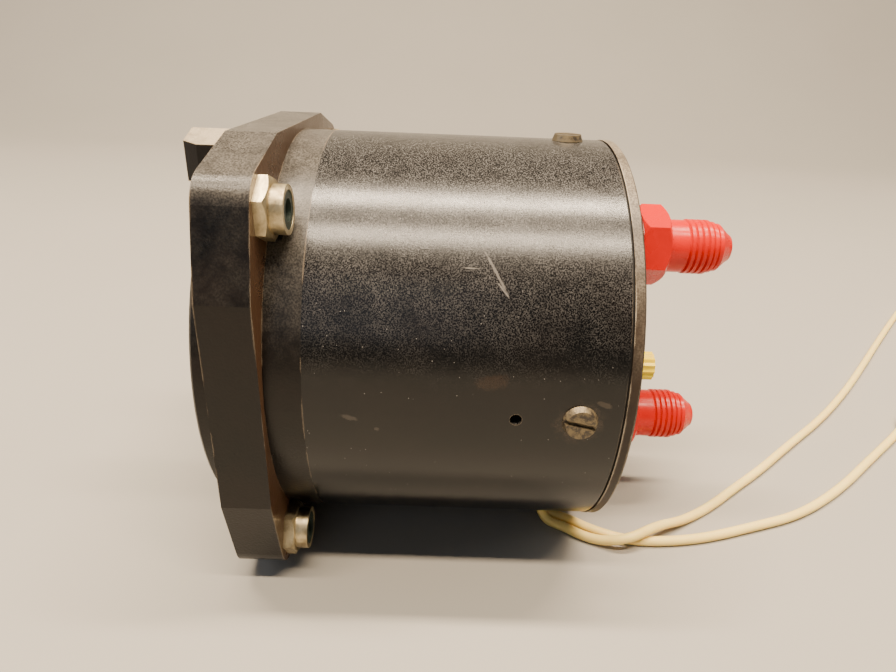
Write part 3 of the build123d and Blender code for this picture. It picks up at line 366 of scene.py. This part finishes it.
# %% Stove enamel
def stove_enamel(name, black, aged, top_dust_and_painted_light, speck, marks):
    material, tree, shader, place = start(name, Specular_IOR_Level=0.42)
    patch = add(
        tree,
        "ShaderNodeTexNoise",
        {"Vector": place, "Scale": 1000 / 18, "Detail": 6.0, "Roughness": 0.62},
    )
    old = add(
        tree, "ShaderNodeMapRange", {"Value": patch.outputs[0], "From Min": 0.45, "From Max": 0.72}
    )
    colour = add(
        tree,
        "ShaderNodeMix",
        {0: old.outputs[0], 6: linear(black), 7: linear(aged)},
        data_type="RGBA",
    )
    cells = add(tree, "ShaderNodeTexVoronoi", {"Vector": place, "Scale": 1000 / 0.5})
    near = add(
        tree,
        "ShaderNodeMapRange",
        {"Value": cells.outputs["Distance"], "From Min": 0.18, "From Max": 0.1},
    )
    some = add(tree, "ShaderNodeSeparateColor", {0: cells.outputs["Color"]})
    chosen = add(tree, "ShaderNodeMath", {0: some.outputs[0], 1: 0.965}, operation="GREATER_THAN")
    specks = add(
        tree, "ShaderNodeMath", {0: near.outputs[0], 1: chosen.outputs[0]}, operation="MULTIPLY"
    )
    speckled = add(
        tree,
        "ShaderNodeMix",
        {0: specks.outputs[0], 6: colour.outputs[2], 7: linear(speck)},
        data_type="RGBA",
    )
    fine = add(tree, "ShaderNodeTexNoise", {"Vector": place, "Scale": 1000 / 0.24, "Detail": 2.0})
    grains = add(
        tree, "ShaderNodeMapRange", {"Value": fine.outputs[0], "From Min": 0.42, "From Max": 0.68}
    )
    # Grains on the upper part turn grey: partly dust, partly a painted sparkle of the highlight.
    topside = facing_up(tree, place, low=0.06, high=0.5)
    dusted_and_painted_sparkle = add(tree, "ShaderNodeMath", {0: grains.outputs[0], 1: topside}, operation="MULTIPLY")
    greyed = add(
        tree,
        "ShaderNodeMix",
        {0: dusted_and_painted_sparkle.outputs[0], 6: speckled.outputs[2], 7: linear(top_dust_and_painted_light)},
        data_type="RGBA",
    )
    edge = worn_edges(tree, place, reach_mm=0.3, chip_mm=0.9, low=0.03, high=0.1)
    final = add(
        tree,
        "ShaderNodeMix",
        {0: edge, 6: greyed.outputs[2], 7: linear("#6d6152")},
        data_type="RGBA",
    )
    for *where, shade, cover in marks:
        spot = mark(tree, place, *where, cover)
        final = add(
            tree,
            "ShaderNodeMix",
            {0: spot, 6: final.outputs[2], 7: linear(shade)},
            data_type="RGBA",
        )
    tree.links.new(final.outputs[2], shader.inputs["Base Color"])
    along = add(tree, "ShaderNodeMapping", {"Vector": place, "Scale": (1.0, 0.18, 1.0)})
    rubbed = add(
        tree,
        "ShaderNodeTexNoise",
        {"Vector": along.outputs[0], "Scale": 1000 / 2.5, "Detail": 5.0, "Roughness": 0.7},
    )
    shine = add(
        tree,
        "ShaderNodeMapRange",
        {
            "Value": rubbed.outputs[0],
            "From Min": 0.3,
            "From Max": 0.7,
            "To Min": 0.19,
            "To Max": 0.25,
        },
    )
    tree.links.new(shine.outputs[0], shader.inputs["Roughness"])
    grain = add(
        tree,
        "ShaderNodeTexNoise",
        {"Vector": place, "Scale": 1000 / 0.2, "Detail": 2.0, "Roughness": 0.5},
    )
    bump = add(
        tree, "ShaderNodeBump", {"Height": grain.outputs[0], "Strength": 0.22, "Distance": 0.00005}
    )
    tree.links.new(bump.outputs[0], shader.inputs["Normal"])
    return material


case_enamel = stove_enamel(
    "black stove enamel on drawn case",
    black="#050505",
    aged="#0f0c0a",
    top_dust_and_painted_light="#646260",
    speck="#8c8985",
    marks=case_marks,
)
print("made", case_enamel.name)

# %% [markdown]
# ## Metals
#
# Plain metals show three things: their colour, turned or drawn lines 0.15 to 0.3 mm
# apart, and dirt in patches. One function makes brass, bronze, steel, aluminium and
# tinned copper from those. A metal keeps the shader's own IOR, because its colour gives
# its reflection.


# %% Turned and drawn metals
def plain_metal(name, clean, dirty, rough, line_mm, dirt):
    material, tree, shader, place = start(name, Metallic=1.0)
    patch = add(
        tree,
        "ShaderNodeTexNoise",
        {"Vector": place, "Scale": 1000 / 3.5, "Detail": 5.0, "Roughness": 0.65},
    )
    soiled = add(
        tree,
        "ShaderNodeMapRange",
        {
            "Value": patch.outputs[0],
            "From Min": 0.4,
            "From Max": 0.75,
            "To Min": 0.0,
            "To Max": dirt,
        },
    )
    colour = add(
        tree,
        "ShaderNodeMix",
        {0: soiled.outputs[0], 6: linear(clean), 7: linear(dirty)},
        data_type="RGBA",
    )
    tree.links.new(colour.outputs[2], shader.inputs["Base Color"])
    along = add(tree, "ShaderNodeMapping", {"Vector": place, "Scale": (0.25, 1.0, 0.25)})
    lines = add(
        tree,
        "ShaderNodeTexNoise",
        {"Vector": along.outputs[0], "Scale": 1000 / line_mm, "Detail": 2.0},
    )
    shine = add(
        tree,
        "ShaderNodeMapRange",
        {
            "Value": lines.outputs[0],
            "From Min": 0.3,
            "From Max": 0.7,
            "To Min": rough - 0.08,
            "To Max": rough + 0.1,
        },
    )
    tree.links.new(shine.outputs[0], shader.inputs["Roughness"])
    bump = add(
        tree, "ShaderNodeBump", {"Height": lines.outputs[0], "Strength": 0.25, "Distance": 0.00005}
    )
    tree.links.new(bump.outputs[0], shader.inputs["Normal"])
    return material


nut_metal = plain_metal(
    "dull plated brass nut", "#cdbf9c", "#5c4a30", rough=0.42, line_mm=0.3, dirt=0.9
)
movement_brass = plain_metal(
    "lacquered movement brass", "#c8a35a", "#8f6c34", rough=0.3, line_mm=0.2, dirt=0.4
)
spring_bronze = plain_metal(
    "drawn phosphor bronze", "#b98154", "#74492c", rough=0.28, line_mm=0.2, dirt=0.5
)
turned_steel = plain_metal(
    "turned steel", "#a9a8a4", "#6d675e", rough=0.3, line_mm=0.15, dirt=0.5
)
port_aluminium = plain_metal(
    "machined aluminium", "#b9bab8", "#7e7a72", rough=0.34, line_mm=0.15, dirt=0.5
)
copper_strand = plain_metal(
    "tinned copper strand", "#c4b3a0", "#9a7f64", rough=0.3, line_mm=0.15, dirt=0.4
)
print("made", nut_metal.name, movement_brass.name, spring_bronze.name)
print("made", turned_steel.name, port_aluminium.name, copper_strand.name)

# %% [markdown]
# ## The ports' screw thread
#
# The ports have a rolled thread of 1.06 mm pitch. A screw line is one where the depth,
# in pitches, plus the turn, in whole turns, stays the same, and the sine of that sum
# makes the crests. It only counts behind the collar, where the thread is.

# %% Threaded port metal
port_height = 0.02
port_sideways = 0.0026
thread_pitch = 0.00106
thread_start = 0.0758
material, tree, shader, place = start("threaded machined aluminium", Metallic=1.0)
tint = add(tree, "ShaderNodeTexNoise", {"Vector": place, "Scale": 1000 / 2.5, "Detail": 5.0})
grey = add(
    tree,
    "ShaderNodeMix",
    {0: tint.outputs[0], 6: linear("#bfc0be"), 7: linear("#8d8a83")},
    data_type="RGBA",
)
tree.links.new(grey.outputs[2], shader.inputs["Base Color"])
dull = add(tree, "ShaderNodeMapRange", {"Value": tint.outputs[0], "To Min": 0.24, "To Max": 0.48})
tree.links.new(dull.outputs[0], shader.inputs["Roughness"])
parts = add(tree, "ShaderNodeSeparateXYZ", {0: place})
height = add(tree, "ShaderNodeMath", {0: parts.outputs[2]}, operation="ABSOLUTE")
across = add(tree, "ShaderNodeMath", {0: height.outputs[0], 1: port_height}, operation="SUBTRACT")
sideways = add(
    tree, "ShaderNodeMath", {0: parts.outputs[0], 1: port_sideways}, operation="SUBTRACT"
)
turn = add(
    tree, "ShaderNodeMath", {0: across.outputs[0], 1: sideways.outputs[0]}, operation="ARCTAN2"
)
pitches = add(
    tree,
    "ShaderNodeMath",
    {0: parts.outputs[1], 1: 2 * math.pi / thread_pitch, 2: turn.outputs[0]},
    operation="MULTIPLY_ADD",
)
crest = add(tree, "ShaderNodeMath", {0: pitches.outputs[0]}, operation="SINE")
behind = add(
    tree, "ShaderNodeMath", {0: parts.outputs[1], 1: thread_start}, operation="GREATER_THAN"
)
thread = add(
    tree, "ShaderNodeMath", {0: crest.outputs[0], 1: behind.outputs[0]}, operation="MULTIPLY"
)
bump = add(
    tree, "ShaderNodeBump", {"Height": thread.outputs[0], "Strength": 0.9, "Distance": 0.0002}
)
tree.links.new(bump.outputs[0], shader.inputs["Normal"])
port_thread = material
print("made", port_thread.name)

# %% [markdown]
# ## Painted screws
#
# The case screws were painted with the case, and a screwdriver chipped the paint off
# the slot and the rim. The same worn edge mask is set to reach further here, so that
# about half of the head is steel.


# %% Chipped screw paint
material, tree, shader, place = start("black paint chipped off steel screws", Roughness=0.45)
chip = worn_edges(tree, place, reach_mm=0.9, chip_mm=1.2, low=0.008, high=0.02)
blot = add(
    tree,
    "ShaderNodeTexNoise",
    {"Vector": place, "Scale": 1000 / 1.1, "Detail": 6.0, "Roughness": 0.75},
)
spots = add(
    tree, "ShaderNodeMapRange", {"Value": blot.outputs[0], "From Min": 0.42, "From Max": 0.56}
)
gone = add(tree, "ShaderNodeMath", {0: chip, 1: spots.outputs[0]}, operation="MAXIMUM")
mixed = add(
    tree,
    "ShaderNodeMix",
    {0: gone.outputs[0], 6: linear("#2c251e"), 7: linear("#75684f")},
    data_type="RGBA",
)
tree.links.new(mixed.outputs[2], shader.inputs["Base Color"])
metal = add(tree, "ShaderNodeMapRange", {"Value": gone.outputs[0], "To Max": 0.5})
tree.links.new(metal.outputs[0], shader.inputs["Metallic"])
screw_finish = material
print("made", screw_finish.name)

# %% [markdown]
# ## Plastics, rubber and wire covering
#
# The caps are moulded polyethylene: light goes a little way in, which softens the
# shade, and the surface has a faint orange peel from the mould. The wire covering is
# a soft cream plastic, the grommet is rubber, and the inserts in the nuts are fibre.
# They differ in colour, in how far light goes in, and in how rough they are, so one
# function makes them all.


# %% Moulded plastics
def moulded(name, colour, shade, rough, inside_mm, peel_mm, strength):
    material, tree, shader, place = start(name, Specular_IOR_Level=0.32)
    if inside_mm:
        shader.inputs["Subsurface Weight"].default_value = 0.15
        shader.inputs["Subsurface Scale"].default_value = inside_mm / 1000
        shader.inputs["Subsurface Radius"].default_value = (1.0, 0.35, 0.25)
    patch = add(
        tree,
        "ShaderNodeTexNoise",
        {"Vector": place, "Scale": 1000 / 6, "Detail": 4.0, "Roughness": 0.6},
    )
    mixed = add(
        tree,
        "ShaderNodeMix",
        {0: patch.outputs[0], 6: linear(colour), 7: linear(shade)},
        data_type="RGBA",
    )
    tree.links.new(mixed.outputs[2], shader.inputs["Base Color"])
    shine = add(
        tree,
        "ShaderNodeMapRange",
        {
            "Value": patch.outputs[0],
            "From Min": 0.3,
            "From Max": 0.7,
            "To Min": rough - 0.05,
            "To Max": rough + 0.08,
        },
    )
    tree.links.new(shine.outputs[0], shader.inputs["Roughness"])
    peel = add(
        tree, "ShaderNodeTexNoise", {"Vector": place, "Scale": 1000 / peel_mm, "Detail": 3.0}
    )
    bump = add(
        tree,
        "ShaderNodeBump",
        {"Height": peel.outputs[0], "Strength": strength, "Distance": 0.0001},
    )
    tree.links.new(bump.outputs[0], shader.inputs["Normal"])
    return material


cap_red = moulded(
    "moulded red polyethylene",
    "#d81606",
    "#bd0c03",
    rough=0.27,
    inside_mm=0.3,
    peel_mm=0.8,
    strength=0.2,
)
cap_yellow = moulded(
    "moulded yellow polyethylene",
    "#f6da00",
    "#e6c200",
    rough=0.34,
    inside_mm=0.3,
    peel_mm=0.6,
    strength=0.2,
)
wire_cover = moulded(
    "cream wire covering",
    "#fae392",
    "#eed078",
    rough=0.42,
    inside_mm=0.2,
    peel_mm=0.5,
    strength=0.2,
)
black_rubber = moulded(
    "black rubber", "#161616", "#232220", rough=0.6, inside_mm=0, peel_mm=0.3, strength=0.4
)
nut_fibre = moulded(
    "dark green nut fibre",
    "#2b3a33",
    "#1b2420",
    rough=0.55,
    inside_mm=0,
    peel_mm=0.25,
    strength=0.5,
)
print("made", cap_red.name, cap_yellow.name, wire_cover.name, black_rubber.name, nut_fibre.name)

# %% [markdown]
# ## The dial's paints and the glass
#
# The dial is matt black so that it doesn't glare, and the pointers and figures are
# matt white. Printed and sprayed paint is nearly flat, so its detail is a very fine
# tooth. The glass is plain, with faint smears that show in its gloss.


# %% Dial paints and glass
def dial_paint(name, colour, shade):
    material, tree, shader, place = start(name)
    tooth = add(
        tree,
        "ShaderNodeTexNoise",
        {"Vector": place, "Scale": 1000 / 0.3, "Detail": 4.0, "Roughness": 0.6},
    )
    mixed = add(
        tree,
        "ShaderNodeMix",
        {0: tooth.outputs[0], 6: linear(colour), 7: linear(shade)},
        data_type="RGBA",
    )
    tree.links.new(mixed.outputs[2], shader.inputs["Base Color"])
    shine = add(
        tree, "ShaderNodeMapRange", {"Value": tooth.outputs[0], "To Min": 0.6, "To Max": 0.85}
    )
    tree.links.new(shine.outputs[0], shader.inputs["Roughness"])
    bump = add(
        tree, "ShaderNodeBump", {"Height": tooth.outputs[0], "Strength": 0.3, "Distance": 0.00005}
    )
    tree.links.new(bump.outputs[0], shader.inputs["Normal"])
    return material


dial_black = dial_paint("matt black dial paint", "#101010", "#191918")
dial_white = dial_paint("matt white dial paint", "#dcd8cb", "#c9c5b6")
dial_green = dial_paint("matt green dial paint", "#2f8f4a", "#267a3e")
dial_red = dial_paint("matt red dial paint", "#b8291f", "#a02019")

material, tree, shader, place = start("plain cover glass", IOR=1.52, Alpha=0.14)
shader.inputs["Base Color"].default_value = linear("#1a201e")
smear = add(
    tree,
    "ShaderNodeTexNoise",
    {"Vector": place, "Scale": 1000 / 15, "Detail": 5.0, "Roughness": 0.7},
)
film = add(
    tree,
    "ShaderNodeMapRange",
    {"Value": smear.outputs[0], "From Min": 0.4, "From Max": 0.7, "To Min": 0.03, "To Max": 0.14},
)
tree.links.new(film.outputs[0], shader.inputs["Roughness"])
cover_glass = material

material, tree, shader, place = start("frosted lamp glass", IOR=1.5, Transmission_Weight=0.6)
frost = add(tree, "ShaderNodeTexNoise", {"Vector": place, "Scale": 1000 / 0.4, "Detail": 3.0})
milky = add(
    tree,
    "ShaderNodeMix",
    {0: frost.outputs[0], 6: linear("#e8e4d6"), 7: linear("#d3cdb8")},
    data_type="RGBA",
)
tree.links.new(milky.outputs[2], shader.inputs["Base Color"])
dull = add(tree, "ShaderNodeMapRange", {"Value": frost.outputs[0], "To Min": 0.35, "To Max": 0.6})
tree.links.new(dull.outputs[0], shader.inputs["Roughness"])
lamp_glass = material
print("made", dial_black.name, dial_white.name, cover_glass.name, lamp_glass.name)

# %% [markdown]
# ## The finishes go on the solids
#
# A solid whose shape is right keeps its mesh, and only its material slots change.

# %% Each solid's finish
finishes = {
    flange_enamel: ["bezel_flange", "bezel_ring"],
    plate_enamel: ["back_plate"],
    hood_enamel: ["lamp_hood"],
    case_enamel: ["case_shell"],
    screw_finish: ["case_screws"],
    nut_metal: ["mounting_nuts"],
    nut_fibre: ["nut_inserts"],
    cap_red: ["red_cap_upper", "red_cap_lower"],
    cap_yellow: ["yellow_cap"],
    port_thread: ["port_nipple_upper", "port_nipple_lower"],
    port_aluminium: ["vent_nipple"],
    movement_brass: [
        "movement_front_plate",
        "movement_rear_plate",
        "movement_pillars",
        "dial_posts",
        "socket_left",
        "socket_right",
        "sector_left",
        "sector_right",
        "link_left",
        "link_right",
    ],
    spring_bronze: ["bourdon_tube_left", "bourdon_tube_right", "hairsprings"],
    turned_steel: ["pinion_left", "pinion_right", "frame_posts", "dial_screws"],
    black_rubber: ["glass_gasket", "back_seal", "grommet"],
    dial_black: ["dial"],
    dial_white: ["pointer_left", "pointer_right"],
    cover_glass: ["cover_glass"],
    lamp_glass: ["lamp"],
}
for finish, names in finishes.items():
    for name in names:
        nodes[name].data.materials.clear()
        nodes[name].data.materials.append(finish)
print(sum(len(names) for names in finishes.values()), "solids finished")

# %% [markdown]
# ## Figures on the dial
#
# Each pointer sweeps 120 degrees about its own shaft, 9 mm from the middle. Its scale
# has a stroke each 4 degrees, a longer one each 20, and figures from 0 to 60 inside
# them. A green band marks the working range and a red stroke the limit. The marks are
# print, so they stand only a few hundredths of a millimetre above the dial.


# %% Scales and figures
dial_face_y = 0.0065
figure_face_y = 0.00647
shaft_sideways_mm = 9.0
stroke_end_mm = 23.6
long_stroke_start_mm = 20.4
band_end_mm = 24.5


def dial_flat(name, outline_mm, paint, height_mm=0.03):
    mesh = bpy.data.meshes.new(name)
    level = dial_face_y - height_mm / 1000
    vertices = []
    faces = []
    for strip in outline_mm:
        faces.append(tuple(range(len(vertices), len(vertices) + len(strip))))
        vertices += [(x / 1000, level, z / 1000) for x, z in strip]
    mesh.from_pydata(vertices, [], faces)
    mesh.materials.append(paint)
    flat = bpy.data.objects.new(name, mesh)
    bpy.context.scene.collection.objects.link(flat)
    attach(flat, "case")


def on_scale(side, degrees, radius_mm):
    turn = math.radians(degrees)
    return side * (shaft_sideways_mm + radius_mm * math.cos(turn)), radius_mm * math.sin(turn)


def stroke(side, degrees, inner, outer, half_width):
    wide = math.degrees(half_width / outer)
    corners = [(-wide, inner), (-wide, outer), (wide, outer), (wide, inner)]
    return [on_scale(side, degrees + turn, radius) for turn, radius in corners]


def band(side, low, high, inner, outer):
    strips = []
    for degrees in range(low, high, 2):
        corners = [(degrees, inner), (degrees, outer), (degrees + 2, outer), (degrees + 2, inner)]
        strips.append([on_scale(side, turn, radius) for turn, radius in corners])
    return strips


for side, word in ((1, "right"), (-1, "left")):
    strokes = [stroke(side, degrees, 22.0, stroke_end_mm, 0.12) for degrees in range(-60, 61, 4)]
    strokes += [
        stroke(side, degrees, long_stroke_start_mm, stroke_end_mm, 0.25)
        for degrees in range(-60, 61, 20)
    ]
    green = band(side, -40, 20, 23.9, band_end_mm)
    red = [stroke(side, 40, long_stroke_start_mm, band_end_mm, 0.35)]
    dial_flat("scale_strokes_" + word, strokes, dial_white)
    dial_flat("scale_green_" + word, green, dial_green)
    dial_flat("scale_red_" + word, red, dial_red, height_mm=0.05)
    for index, degrees in enumerate(range(-60, 61, 20)):
        letters = bpy.data.curves.new("figure", "FONT")
        letters.body = str(10 * index)
        letters.size = 0.0038
        letters.align_x = "CENTER"
        letters.align_y = "CENTER"
        typed = bpy.data.objects.new("figure", letters)
        mesh = bpy.data.meshes.new_from_object(typed)
        bpy.data.objects.remove(typed)
        figure = bpy.data.objects.new(f"figure_{word}_{10 * index}", mesh)
        mesh.materials.append(dial_white)
        bpy.context.scene.collection.objects.link(figure)
        x, z = on_scale(side, degrees, 17.6)
        figure.location = (x / 1000, figure_face_y, z / 1000)
        figure.rotation_euler = (math.pi / 2, 0, 0)
        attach(figure, "case")
print("scales with 14 figures")

# %% [markdown]
# ## The wires
#
# Two soft wires about 315 mm long leave a rubber ring under the case, drop 3 mm to the
# table and run out of the picture. A wire is one NURBS curve through a route of a few
# points, which bends as a wire does. One wire lies over the other, so it has two raised
# points at the crossing. What the picture doesn't show is wound up in a small coil,
# and 3 mm of tinned copper strand stands out of its cut end.


# %% Wire routes
wire_diameter = 0.0021
wire_exit_y = 0.0605
wire_exit_radius = 0.0369
strand_diameter = 0.001
strand_length = 0.003
strand_hidden = 0.001
coil_radius = 0.0115
coil_steps = 16
floor_z = min(corner[2] for corner in cad_box)
wire_z = floor_z + wire_diameter / 2


def wire_start(degrees):
    across = math.cos(math.radians(degrees))
    upward = math.sin(math.radians(degrees))
    radii = (wire_exit_radius, wire_z / upward)
    return [(radius * across, wire_exit_y, radius * upward) for radius in radii]


def on_floor(points_mm):
    return [(x / 1000, y / 1000, wire_z + up / 1000) for x, y, up in points_mm]


def coil_points(last, before, tracks, turns):
    run = (Vector(last) - Vector(before)).normalized()
    side = Vector((run.y, -run.x, 0))
    centre = Vector(last) + side * coil_radius
    points = []
    for step in range(1, int(turns * coil_steps) + 1):
        turn = step / coil_steps
        layer = min(int(turn / tracks), 1)
        outward = 0 if tracks == 1 else (turn % 2 - 1) * wire_diameter * (-1) ** layer
        ring = coil_radius + outward / 2
        angle = 2 * math.pi * turn
        place = centre - side * ring * math.cos(angle) + run * ring * math.sin(angle)
        points.append((place.x, place.y, wire_z + layer * wire_diameter))
    return points


wire_a_route = wire_start(-68.3) + on_floor(
    [
        (19.3, 66.4, 0),
        (21.7, 69.5, 0),
        (23.4, 73.6, 0.2),
        (25.1, 78.5, 2.5),
        (20.5, 86.0, 2.5),
        (16.0, 93.5, 0.1),
        (10.5, 102.0, 0),
        (3.7, 110.2, 0),
        (-4.5, 120.6, 0),
        (-16.8, 134.4, 0),
        (-30.3, 150.3, 0),
        (-46.9, 166.9, 0),
        (-64.6, 183.0, 0),
        (-90.9, 206.2, 0),
        (-118.7, 231.3, 0),
        (-129.0, 240.9, 0),
    ]
)
wire_b_route = wire_start(-71.7) + on_floor(
    [
        (16.3, 67.4, 0),
        (18.5, 70.1, 0),
        (20.7, 74.1, 0),
        (22.2, 78.1, 0),
        (22.8, 82.3, 0),
        (22.5, 89.0, 0),
        (21.0, 97.4, 0),
        (16.8, 110.0, 0),
        (12.5, 122.2, 0),
        (2.6, 137.2, 0),
        (-10.7, 153.0, 0),
        (-23.5, 168.5, 0),
        (-30.6, 176.0, 0),
    ]
)
print("routes of", len(wire_a_route), "and", len(wire_b_route), "points")


# %% Wires as curves
def stripped_end(name, place, direction):
    along = direction.normalized()
    ends = [place - along * strand_hidden, place + along * strand_length]
    curve = bpy.data.curves.new(name, "CURVE")
    curve.dimensions = "3D"
    curve.bevel_depth = strand_diameter / 2
    curve.use_fill_caps = True
    spline = curve.splines.new("POLY")
    spline.points.add(1)
    for point, end in zip(spline.points, ends):
        point.co = (*end, 1)
    curve.materials.append(copper_strand)
    strands = bpy.data.objects.new(name, curve)
    bpy.context.scene.collection.objects.link(strands)
    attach(strands, "case")
    return strands


def lay_wire(name, route, node, coil_node, tracks, turns):
    curve = bpy.data.curves.new(name, "CURVE")
    curve.dimensions = "3D"
    curve.bevel_depth = wire_diameter / 2
    curve.bevel_resolution = 4
    curve.resolution_u = 6
    curve.use_fill_caps = True
    spline = curve.splines.new("NURBS")
    points = route + coil_points(route[-1], route[-2], tracks, turns)
    spline.points.add(len(points) - 1)
    for point, place in zip(spline.points, points):
        point.co = (*place, 1)
    spline.order_u = 3
    spline.use_endpoint_u = True
    curve.materials.append(wire_cover)
    wire = bpy.data.objects.new(name, curve)
    bpy.context.scene.collection.objects.link(wire)
    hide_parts(node, coil_node)
    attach(wire, "case")
    last = Vector(points[-1])
    strands = stripped_end(name + "_strands", last, last - Vector(points[-2]))
    line = curve.copy()
    line.bevel_depth = 0
    bare = bpy.data.objects.new(name + "_line", line)
    mesh = bpy.data.meshes.new_from_object(bare)
    bpy.data.objects.remove(bare)


lay_wire("lamp_wire_a", wire_a_route, "wire_a", "wire_a_coil", tracks=1, turns=0.95)
lay_wire("lamp_wire_b", wire_b_route, "wire_b", "wire_b_coil", tracks=2, turns=2.45)

# %% [markdown]
# ## Table, light and camera
#
# The table is plain and pale, and it curves up into a wall. The picture shows two bright
# bands along the upper part of the case, so two long soft lamps hang above it. Weak
# fills come from the front, from the dial's side and from the rear. The camera stands
# where a fit to the flange, the case and the nuts puts it.

# %% Table
table_reach = 9.0
bend_x = -0.55
bend = 0.4
wall_x = bend_x - bend
sweep = [(table_reach, 0.0), (bend_x, 0.0)]
for tenth in range(1, 16):
    turn = tenth / 10
    sweep.append((bend_x - bend * math.sin(turn), bend - bend * math.cos(turn)))
sweep += [(wall_x, 0.5), (wall_x, 3.0)]
corners = [(x, y, floor_z + z) for x, z in sweep for y in (-table_reach, table_reach)]
faces = [(row, row + 1, row + 3, row + 2) for row in range(0, 2 * len(sweep) - 2, 2)]
mesh = bpy.data.meshes.new("table")
mesh.from_pydata(corners, [], faces)
mesh.shade_smooth()
table = bpy.data.objects.new("table", mesh)
bpy.context.scene.collection.objects.link(table)
material, tree, shader, place = start("pale matt table top", Roughness=0.85)
cloud = add(tree, "ShaderNodeTexNoise", {"Vector": place, "Scale": 8.0, "Detail": 3.0})
tone = add(
    tree,
    "ShaderNodeMix",
    {0: cloud.outputs[0], 6: linear("#a29e96"), 7: linear("#9c9890")},
    data_type="RGBA",
)
tree.links.new(tone.outputs[2], shader.inputs["Base Color"])
table.data.materials.append(material)
print("table at", round(floor_z * 1000, 2), "mm")


# %% Light
def soft_lamp(name, place, target, size, power, colour):
    lamp = bpy.data.lights.new(name, "AREA")
    lamp.shape = "RECTANGLE"
    lamp.size, lamp.size_y = size
    lamp.energy = power
    lamp.color = linear(colour)[:3]
    lamp_object = bpy.data.objects.new(name, lamp)
    bpy.context.scene.collection.objects.link(lamp_object)
    lamp_object.location = place
    aim = Vector(target) - Vector(place)
    lamp_object.rotation_euler = aim.to_track_quat("-Z", "Y").to_euler()


middle = (0, 0.035, 0)
long_strip = (1.1, 0.06)
warm = "#ffe9cc"
cool = "#eef3ff"
soft_lamp("long_lamp_front", (0.35, 0.035, 0.99), middle, long_strip, power=25, colour=warm)
soft_lamp("long_lamp_rear", (-0.07, 0.035, 1.05), middle, long_strip, power=38, colour=warm)
soft_lamp("front_fill", (1.2, -0.3, 0.7), middle, (0.9, 0.9), power=1.5, colour=cool)
soft_lamp("dial_fill", (0.2, -1.2, 0.6), middle, (0.8, 0.8), power=5, colour=cool)
soft_lamp("rear_fill", (-0.3, 1.3, 0.8), middle, (0.8, 0.8), power=3, colour="#fff4e6")
world = bpy.data.worlds.new("soft_room")
world.use_nodes = True
room = world.node_tree.nodes["Background"]
room.inputs["Color"].default_value = linear("#d8d6d2")
room.inputs["Strength"].default_value = 0.14
bpy.context.scene.world = world
print(len(bpy.data.lights), "lamps")

# %% Camera
camera_data = bpy.data.cameras.new("camera")
camera_data.sensor_width = 36
camera_data.lens = 24.911
camera_data.clip_start = 0.01
camera = bpy.data.objects.new("camera", camera_data)
bpy.context.scene.collection.objects.link(camera)
right = Vector((-0.003538, 0.999275, 0.037916))
up = Vector((-0.416095, -0.035949, 0.908609))
back = Vector((0.909314, -0.012562, 0.41592))
turned = Matrix((right, up, back)).transposed()
camera.matrix_world = Matrix.Translation((0.12671, 0.03699, 0.05453)) @ turned.to_4x4()
bpy.context.scene.camera = camera
print("camera at", tuple(round(distance, 4) for distance in camera.location))
